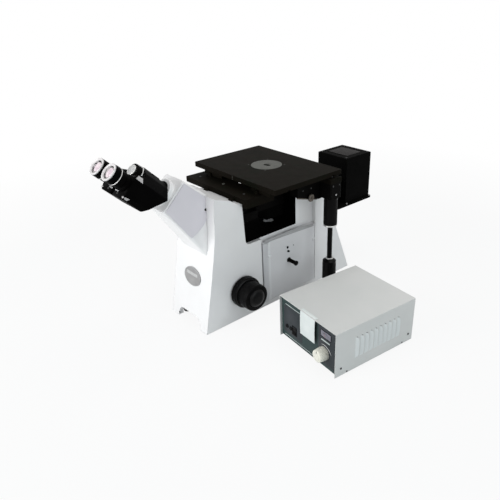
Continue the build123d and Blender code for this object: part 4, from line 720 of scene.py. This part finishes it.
skin("x_knob_grip", [looped(grip_high, drive_foot, up, **knob_grip)], "stage_x_knob", gloss_black)
washer = [(6.6, 112), (9.5, 112), (10, 112.5), (10, 114.5), (9.5, 115), (6.6, 115)]
skin("x_shaft_ring", [looped(washer, drive_foot, up)], "stage_x_knob", satin_metal)
screws("drive_top_screw", [(drive_x, drive_y, carriage_z)], up, 4.2, 1.6, "stage_y", dark_steel)
screws("drive_side_screws", [(168, y, 318) for y in (68, 90)], rightward, 2.2, 0.9, "stage_y", dark_steel)
# This screw's pale grey is a painted highlight on its head.
screws("drive_foot_screw", [(168, 79, 294)], rightward, 2.4, 0.9, "stage_y", painted_highlight)
screws("gusset_screws", [(126, y, 312) for y in (6, 34)], rightward, 2.2, 0.9, "stage_y", dark_steel)
print("drive axis at", round(drive_x, 1), round(drive_y, 1), "mm")

# %% [markdown]
# Focus knobs
#
# The large knob is the coarse focus and the small one on its face the fine focus. Both are
# moulded with shallow rings on their faces, and a low drum stands in the middle. Rings are
# bumps of a turned profile: the height follows a cosine along the radius. The drum's edge is
# a quarter of an ellipse.

# %% Make the rings, grips and drums of the focus knobs
coarse_high = max(abs(value[0]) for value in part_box("coarse_knob_right")) / mm
fine_high = max(abs(value[0]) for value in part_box("fine_knob_right")) / mm
ring_inner, ring_outer = 34.4, 38
for side, where in both_sides:
    outward = (side, 0, 0)
    radius = np.linspace(ring_inner, ring_outer, 40)
    waves = 0.28 * (1 - np.cos((radius - ring_inner) / (ring_outer - ring_inner) * 4 * pi)) / 2
    face = [(r, coarse_high + w + 0.02) for r, w in zip(radius, waves)]
    face += [(ring_outer + 0.2, coarse_high - 0.5), (ring_inner - 0.2, coarse_high - 0.5)]
    skin("coarse_rings_" + where, [looped(face, focus_centre, outward, steps=96)], "coarse_focus", ring_black)
    band = lifted(fine_high, [(33.9, -27), (34.35, -26.5), (34.45, -25.5), (34.45, -7.5), (34.35, -6.5),
                              (33.9, -6)])
    skin("fine_grip_" + where, [looped(band, focus_centre, outward, steps=288, grips=96, grip_deep=0.4)],
         "fine_focus", gloss_black)
    step = lifted(fine_high, [(24.2, -0.4), (24.8, 0.25), (26.4, 0.35), (27, -0.2), (27, -1), (24.2, -1)])
    skin("fine_face_ring_" + where, [looped(step, focus_centre, outward, steps=96)], "fine_focus",
         gloss_black)
    bend = np.linspace(0, pi / 2, 14)
    drum = [(11 + 12 * sin(t), fine_high - 1 + 7.5 * cos(t)) for t in bend]
    drum = [(0, fine_high + 6.5)] + drum + [(0, fine_high - 1)]
    skin("fine_drum_" + where, [turned(drum, focus_centre, outward, steps=96)], "fine_focus", drum_black)
print("knob faces at", round(coarse_high, 1), round(fine_high, 1), "mm")

# %% [markdown]
# Revolving nosepiece
#
# The objectives screw into the turret. Each has a knurled ring at its foot, a plain coloured
# band that tells its power, and a bright front cell round the lens. They splay like spokes
# round the leaning axis, and one of them stands upright under the stage.

# %% Make the objectives' rings, bands and front cells
def turned_round(vector, axis, angle):
    """A vector turned round a unit axis: v cos a + (axis x v) sin a + axis (axis . v)(1 - cos a)."""
    along = axis * np.dot(axis, vector) * (1 - cos(angle))
    return vector * cos(angle) + np.cross(axis, vector) * sin(angle) + along


upright_seat = np.array((0, 0, 0.297))
objectives = {
    "medium": (0, 12.5, 6, 6, 31, band_yellow),
    "low": (4, 12.5, 5, 9, 24, band_red),
    "high": (1, 12.5, 6, 5, 36, band_blue),
    "long": (2, 13, 7, 8, 34, band_green),
}
for name, (seat, radius, foot, nose, full, band_look) in objectives.items():
    turn = radians(72 * seat)
    centre = turret_centre + turned_round(upright_seat - turret_centre, turret_axis, turn)
    axis = turned_round(up, turret_axis, turn)
    knurl = [(radius + r, foot + h) for r, h in ((-0.5, 0.6), (0.35, 1), (0.4, 4), (-0.5, 4.4))]
    skin("objective_knurl_" + name, [looped(knurl, centre, axis, steps=192, grips=64, grip_deep=0.5)],
         "revolver", dark_steel)
    band = [(radius + r, foot + h) for r, h in ((-0.5, 5.6), (0.12, 5.7), (0.12, 7.3), (-0.5, 7.4))]
    skin("objective_band_" + name, [looped(band, centre, axis)], "revolver", band_look)
    cell = [(3.2, full - 1.2), (3.2, full + 0.15), (nose - 0.6, full + 0.2), (nose + 0.05, full - 0.3),
            (nose + 0.1, full - 1.6), (nose - 0.5, full - 1.8)]
    skin("objective_cell_" + name, [looped(cell, centre, axis)], "revolver", dark_steel)
    lens = [(3.1 * t, full - 1 + 0.7 * (1 - t * t)) for t in np.linspace(0, 1, 9)]
    lens += [(3.2, full - 1.6), (0, full - 1.8)]
    skin("objective_lens_" + name, [turned(lens, centre, axis)], "revolver", lens_black)
click_ring = [(41, -13.9), (44.1, -12.6), (44.25, -12), (44.25, -5.4), (44.1, -4.8), (41, -4.4)]
skin("turret_grip", [looped(click_ring, turret_centre, turret_axis, steps=288, grips=72, grip_deep=0.9)],
     "revolver", black_anodised)
hub = [(0, 4.6), (3.6, 4.6), (4, 4.2), (6.5, 4.2), (7, 3.7), (7, 2.6), (0, 2.6)]
skin("turret_hub", [turned(hub, turret_centre, turret_axis)], "revolver", dark_steel)
print("pieces so far:", len(made_pieces))

# %% [markdown]
# Stand
#
# On the outside of the casting there is little: a bare oval plate with a rim and a lighter
# band, and a small screw low on the front. Each side cover has two upright strips, two round
# catches and a painted shadow band near its top, and the right one a few dark marks by the
# selector's rod, which ends in a small ribbed head. The screws under the base plate show only from below.

# %% Make the plate's band, the covers' strips and catches, and the rod's head
plate_low, plate_high = (np.array(corner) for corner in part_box("front_plate"))
plate_mid = (plate_low + plate_high) / 2
front_run, front_rise = 37, 187
front_up = np.array((0, front_run, front_rise)) / hypot(front_run, front_rise)
front_out = np.array((0, -front_up[2], front_up[1]))
band_at = plate_mid + front_out * 0.0009 + front_up * 0.0062 - np.array((0.002, 0, 0))
skin("plate_band", [slab(band_at, (1, 0, 0), front_up, 22.5, 3.8, 1.2, 0.35, 0.1)], "stand", plate_pale)
rim_turn = np.linspace(0, 2 * pi, 121)
rim_path = (plate_mid + front_out * 0.0009 + 0.0332 * np.outer(np.cos(rim_turn), (1, 0, 0))
            + 0.0227 * np.outer(np.sin(rim_turn), front_up))
skin("plate_rim", [swept(rim_path, 0.7)], "stand", rim_grey_and_painted_light)
foot_up = 8.3
screws("foot_screw", [(-45.6, -272 + front_run * foot_up / front_rise, foot_up + 1)], front_out, 2.6, 0.5,
       "stand", dark_steel, 0.7)
cover_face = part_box("side_cover_right")[1][0] - 0.0012
marks = [screw((cover_face, y * mm, z * mm), rightward, r, 1, 0.6)
         for y, z, r in ((-2, 145.7, 3.5), (-0.6, 134.6, 3.1), (2.6, 132.6, 2.6), (18.6, 145.6, 1.3))]
skin("cover_marks", marks, "stand", moulded_black)
shadow_outline = [(-79, 184), (-79, 191), (27, 192), (94, 184), (94, 177), (27, 180)]
for side, where in both_sides:
    face_x = side * (cover_face - 0.0002)
    for name, y, half, thick, look in (("cover_strip_", -79, 7.6, 1.7, strip_grey),
                                       ("cover_edge_", -66.4, 3.8, 1.8, strip_pale)):
        skin(name + where,
             [slab((face_x, y * mm, 0.099), (0, side, 0), (0, 0, 1), half, 83, 0.8, thick, 0.3)],
             "stand", look)
    catch_profile = [(0, 4), (2.6, 3.8), (4.6, 3.2), (5.4, 2.4), (5.5, -0.4), (0, -0.4)]
    skin("cover_catch_" + where, [turned(catch_profile, (face_x, -0.0661, 0.1434), (side, 0, 0))], "stand",
         strip_pale)
    rear_catch = [(0, 2.2), (2.2, 2), (3.2, 1.4), (3.4, -0.4), (0, -0.4)]
    skin("rear_catch_" + where, [turned(rear_catch, (face_x, 0.0969, 0.1392), (side, 0, 0))], "stand",
         strip_pale)
    # A painted shadow: a darker grey band on the cover where the stage's shade falls.
    skin("cover_top_shadow_" + where,
         [prism(shadow_outline, (side, 0, 0), (0, 1, 0), (0, 0, 1), (face_x, 0, 0), 0, 0.6)], "stand", rim_grey_and_painted_light)
screws("cover_screws_left", [(-cover_face / mm, y, z) for y, z in ((-60, 24), (88, 24), (-60, 168))],
       -rightward, 2.6, 0.9, "stand", dark_steel)
rod_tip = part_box("selector_rod")[1][0] / mm
rod_at = (0, 0.002, 0.108)
grip = lifted(rod_tip, [(4.6, -3.9), (6.4, -3.9), (6.8, -3.4), (6.8, -1.4), (6.2, -0.2), (4.6, 0.4), (0, 0.5),
                        (0, -3.9)])
skin("selector_grip", [turned(grip, rod_at, (1, 0, 0), steps=96, grips=24, grip_deep=0.4)], "selector",
     gloss_black)
collar = lifted(cover_face / mm, [(6.1, 0.8), (6.7, 0.8), (7, 0.5), (7, -0.3), (6.1, -0.3)])
skin("selector_collar", [looped(collar, rod_at, (1, 0, 0))], "stand", dark_steel)
screws("base_screws", [(x, y, 8) for x in (-52, 52) for y in (-204, -100, 10, 120, 212)], -up, 3, 1.2,
       "stand", dark_steel)
print("pieces so far:", len(made_pieces))

# %% [markdown]
# Power unit
#
# The cover is folded sheet with pressed louvres along both sides: each slot has a little
# hood that rises steadily across it and runs out at both ends. On the front there are two
# plain fields, a blank paper tab that hangs from the cover's edge, a small meter with a scale
# and a needle, thin border lines, a bar below the meter and an arc round the dial.

# %% Find the unit's own directions
unit_right = np.cross(-unit_front, up)
unit_back = -unit_front
unit_wide = 200
unit_corner = dial_centre - mm * (157 * unit_right + 6 * unit_back + 42 * up)


def on_unit(across, back, high):
    """A point given across, back and up from the unit's front left corner, in mm."""
    return unit_corner + mm * (across * unit_right + back * unit_back + high * up)


print("unit turned by", round(degrees(atan2(unit_right[1], unit_right[0])), 2), "degrees")


# %% Press the louvres
def hood(side, back, low, high, wide=8.6, proud=3.4, rows=18, columns=10):
    """A louvre's hood over a slot: across the hood the face rises as t^0.8 from the sheet to
    proud * sqrt(1 - s^6), with t from 0 to 1 over its width and s from -1 to 1 up the slot."""
    s = np.linspace(-1, 1, rows)
    t = np.linspace(0, 1, columns)
    swell = np.sqrt(np.clip(1 - s ** 6, 0, 1))[:, None]
    height = ((low + high) / 2 + s * (high - low) / 2)[:, None] + 0 * t[None, :]
    out = proud * swell * (t ** 0.8)[None, :]
    along = back - wide / 2 + wide * (0.3 + 0.7 * swell) * t[None, :] * np.ones((rows, 1))
    face = unit_wide if side > 0 else 0
    outer, inner = (
        unit_corner + mm * ((face + side * (out + lift))[..., None] * unit_right
                            + along[..., None] * unit_back + height[..., None] * up)
        for lift in (0.02, -0.9))
    return np.concatenate((outer, inner[:, ::-1]), axis=1)


slots = 60 + 14 * np.arange(10)
for side, where in both_sides:
    # The hoods take the lighter enamel, as painted light on their lit slopes.
    skin("louvres_" + where, [hood(side, y, 31.5, 85.5) for y in slots], "power_unit", louvre_painted_light)
print("louvres:", 2 * len(slots))

# %% Dress the front panel
panel_y = 6


def on_panel(x, z, half_x, half_z, corner, thick, look, name, proud=0.0, edge=0.08, body="power_unit"):
    """A thin plate on the panel's face, centred at (x, z), whose top looks to the front."""
    return skin(name,
                [slab(on_unit(x, panel_y - proud, z), unit_right, up, half_x, half_z, corner, thick, edge)],
                body, look)


on_panel(44, 57, 35, 37, 2, 0.12, field_grey, "left_field")
on_panel(165, 60, 28.5, 47, 2, 0.12, field_grey, "right_field")
on_panel(42.5, 97, 27, 0.9, 0.5, 0.3, line_paint, "border_line_top")
on_panel(66, 12, 54, 0.7, 0.4, 0.3, line_paint, "border_line_foot")
on_panel(161, 90, 16.5, 7.6, 1.2, 0.6, meter_face, "meter_plate")
frame_path = rounded_loop(17, 8.1, 1.6, 8)
frame_path = np.vstack((frame_path, frame_path[:1]))
frame_path = on_unit(161, panel_y - 0.4, 90) + mm * (frame_path[:, :1] * unit_right + frame_path[:, 1:] * up)
skin("meter_frame", [swept(frame_path, 0.7)], "power_unit", moulded_black)


def pointer(proud, angle, reach, half_x, half_z):
    """A thin strip over the meter that points away from its pivot, at an angle from the right."""
    out = cos(angle) * unit_right + sin(angle) * up
    across = sin(angle) * unit_right - cos(angle) * up
    pivot = on_unit(161, panel_y - proud, 80)
    return slab(pivot + mm * reach * out, across, out, half_x, half_z, 0.15, 0.12, 0.03)


skin("meter_marks", [pointer(0.62, angle, 13.5, 0.22, 1.3) for angle in np.radians(np.linspace(50, 130, 9))],
     "power_unit", moulded_black)
skin("meter_needle", [pointer(0.75, radians(112), 7.8, 0.2, 5.2)], "power_unit", band_red)
on_panel(160.2, 73.4, 14.2, 1.7, 0.8, 0.35, line_paint, "meter_bar")
dial_arc = np.radians(np.linspace(118, 14, 40))
arc_path = on_unit(157, panel_y - 0.15, 42) + mm * (
    23 * np.outer(np.cos(dial_arc), unit_right) + 20.5 * np.outer(np.sin(dial_arc), up))
skin("dial_arc", [swept(arc_path, 1.25 * np.sin(np.linspace(0.12, pi - 0.12, 40)))], "power_unit", plate_pale)
print("pieces so far:", len(made_pieces))


# %% Hang the blank tab on the cover's edge
def tab(left, right, low, high, bend=5.0, thick=0.5):
    """A sheet that lies on the cover and folds down over its front edge: across the tab the
    line is straight, and down it the path is flat, then an arc of the bend, then a slight sway."""
    turn = np.linspace(pi / 2, 0, 10)
    flat = np.stack((np.linspace(9, bend, 6), np.full(6, high)), axis=1)
    arc = np.stack((bend - bend * np.cos(turn), high - bend + bend * np.sin(turn)), axis=1)
    drop = np.linspace(high - bend, low, 14)
    sway = 0.8 * np.sin((drop - low) / (high - low) * pi)
    down = np.stack((-sway, drop), axis=1)
    line = np.vstack((flat, arc[1:], down[1:]))
    run = np.gradient(line, axis=0)
    run /= np.linalg.norm(run, axis=1)[:, None]
    out = np.stack((run[:, 1], -run[:, 0]), axis=1)
    under = line + out * thick
    ends = [(left, line), (right, line), (right, under), (left, under)]
    return np.stack([np.stack([on_unit(x, y, z) for y, z in edge]) for x, edge in ends], axis=1)


skin("blank_tab", [tab(80, 131, 53, 115.2)], "power_unit", tab_paper, sharp=50)

# %% Make the dial's flutes, the sockets and the unit's screws
dial_profile = [(15.6, 1), (16.35, 1.4), (16.4, 3), (14.9, 19.6), (14.3, 21.4), (12.6, 22.5), (9, 22.75),
                (8.6, 22.35), (0, 22.3), (0, 1)]
skin("dial_cap", [turned(dial_profile, dial_centre, unit_front, steps=168, grips=28, grip_deep=0.9)],
     "brightness", ivory)
skin("dial_index",
     [slab(dial_centre + unit_front * 0.02235 + up * 0.0102, unit_right, up, 0.7, 3.4, 0.4, 0.45, 0.1)],
     "brightness", moulded_black)
for x in (22, 36):
    socket = [(2.4, 0), (2.4, 1.6), (3.6, 1.9), (4.9, 1.5), (5.3, 0.6), (5.3, -0.4), (2.4, -0.4)]
    skin("lamp_socket_%d" % x, [looped(socket, on_unit(x, panel_y, 38), unit_front)], "power_unit",
         gloss_black)
switch_sides = [(0, 11, 8.6, 0.9), (0, -11, 8.6, 0.9), (-7.8, 0, 0.8, 11), (7.8, 0, 0.8, 11)]
skin("switch_frame", [slab(on_unit(50 + x, panel_y, 38 + z), unit_right, up, half_x, half_z, 0.4, 1.2)
                      for x, z, half_x, half_z in switch_sides], "power_unit", gloss_black)
corners = [(16.5, 22), (224.6, 22.3)]
for name, x, axis, radius, high, spots in (
        ("unit_screws_right", unit_wide, unit_right, 2.7, 0.9, corners),
        ("unit_screws_left", 0, -unit_right, 2.7, 0.9, corners),
        ("foot_rivets", unit_wide, unit_right, 2, 0.7, [(34, 6.2), (206, 6.2)])):
    screws(name, [on_unit(x, y, z) / mm for y, z in spots], axis, radius, high, "power_unit", dark_steel, 0.6)
print("pieces so far:", len(made_pieces))

# %% [markdown]
# Backs of the two boxes
#
# Nothing of the backs shows in the photograph. Such units have a recessed mains inlet, a fuse
# cap and a lamp outlet on the rear panel, and the lamp house has one matching inlet low on its
# back. No cord is seen, so none is made. An inlet is a rounded well: rings of a rounded
# rectangle, drawn in and pushed back.

# %% Make the inlets, the fuse cap and the lamp house's trim
def well(centre, across, upward, half_x, half_y, rim=2.0, deep=9.0, corner=3.0):
    """A framed recess: rings of a rounded rectangle that rise to a rim and then sink."""
    outward = np.cross(across, upward)
    rings = []
    for inset, height in ((0, -0.2), (0, 1.2), (0.4, 1.6), (rim, 1.6), (rim + 0.3, 1.2), (rim + 0.4, -deep),
                          (rim + 6, -deep)):
        loop = rounded_loop(half_x - inset, max(half_y - inset, 0.6), max(corner - inset, 0.3)) * mm
        rings.append(np.array(centre) + loop[:, :1] * across + loop[:, 1:] * upward + height * mm * outward)
    return np.array(rings)


rear_y = 232
skin("mains_inlet", [well(on_unit(150, rear_y, 40), -unit_right, up, 14, 10.5, deep=4.5)], "power_unit",
     moulded_black)
pins = [slab(on_unit(150 + x, rear_y + 2.2, 40 + z), -unit_right, up, 1, 2.2, 0.3, 2.6, 0.2)
        for x, z in ((-5, -2), (5, -2), (0, 3))]
skin("inlet_pins", pins, "power_unit", satin_metal)
fuse = [(0, 11), (4.6, 11), (5.4, 10), (5.6, 2), (7.4, 1.6), (7.8, 0.6), (7.8, -0.2), (0, -0.2)]
skin("fuse_cap", [turned(fuse, on_unit(110, rear_y, 40), unit_back, grips=12, grip_deep=0.5)], "power_unit",
     moulded_black)
outlet = [(5, -0.2), (5, 2.6), (7.4, 2.8), (8, 2.2), (8.2, -0.2)]
skin("lamp_outlet", [looped(outlet, on_unit(60, rear_y, 40), unit_back)], "power_unit", satin_metal)
lamp_low, lamp_high = (np.array(corner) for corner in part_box("lamp_house"))
rear_face = np.array((0, lamp_high[1], lamp_low[2] + 0.024))
inlet_ring = [(4.6, -0.2), (4.6, 5), (6.6, 5.6), (8.4, 5), (8.8, -0.2)]
skin("lamp_inlet", [looped(inlet_ring, rear_face, rearward)], "stand", moulded_black)
screws("lamp_rear_screws", [(x, lamp_high[1] / mm, z) for x in (-47, 47) for z in (202, 302)], rearward,
       2.6, 1, "stand", satin_metal)
lid_low, lid_top = (np.array(corner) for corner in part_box("lamp_lid"))
screws("lid_screws", [(x, y, lid_top[2] / mm) for x in (-47, 47) for y in (253.5, 343)], up, 2.6, 1,
       "stand", dark_steel)
lid_mid = (lid_low + lid_top) / 2
screen_at = (lid_mid[0], lid_mid[1], lid_top[2] - 0.0002)
skin("vent_screen", [slab(screen_at, (1, 0, 0), (0, 1, 0), 36, 30, 3, 0.7, 0.2)], "stand", screen_grey)
flange_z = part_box("lamp_base")[0][2] / mm + 6
screws("flange_screws", [(x, y, flange_z) for x in (-57.5, 57.5) for y in (250, 350)], up, 2.6, 1.2,
       "stand", satin_metal)
clamp = lifted(168, [(25, 0), (27.6, 0), (28, 0.5), (28, 9.5), (27.6, 10), (25, 10)])
skin("tube_clamp", [looped(clamp, (0, 0, 0.227), rearward)], "stand", black_anodised)
coil = np.linspace(0, 14 * pi, 220)
coil_path = np.stack((np.cos(coil) * 0.0011, 0.2983 + np.sin(coil) * 0.0011,
                      0.224 + coil / (14 * pi) * 0.007), axis=1)
skin("lamp_filament", [swept(coil_path, 0.22, 8)], "stand", satin_metal)
print("pieces made:", len(made_pieces))
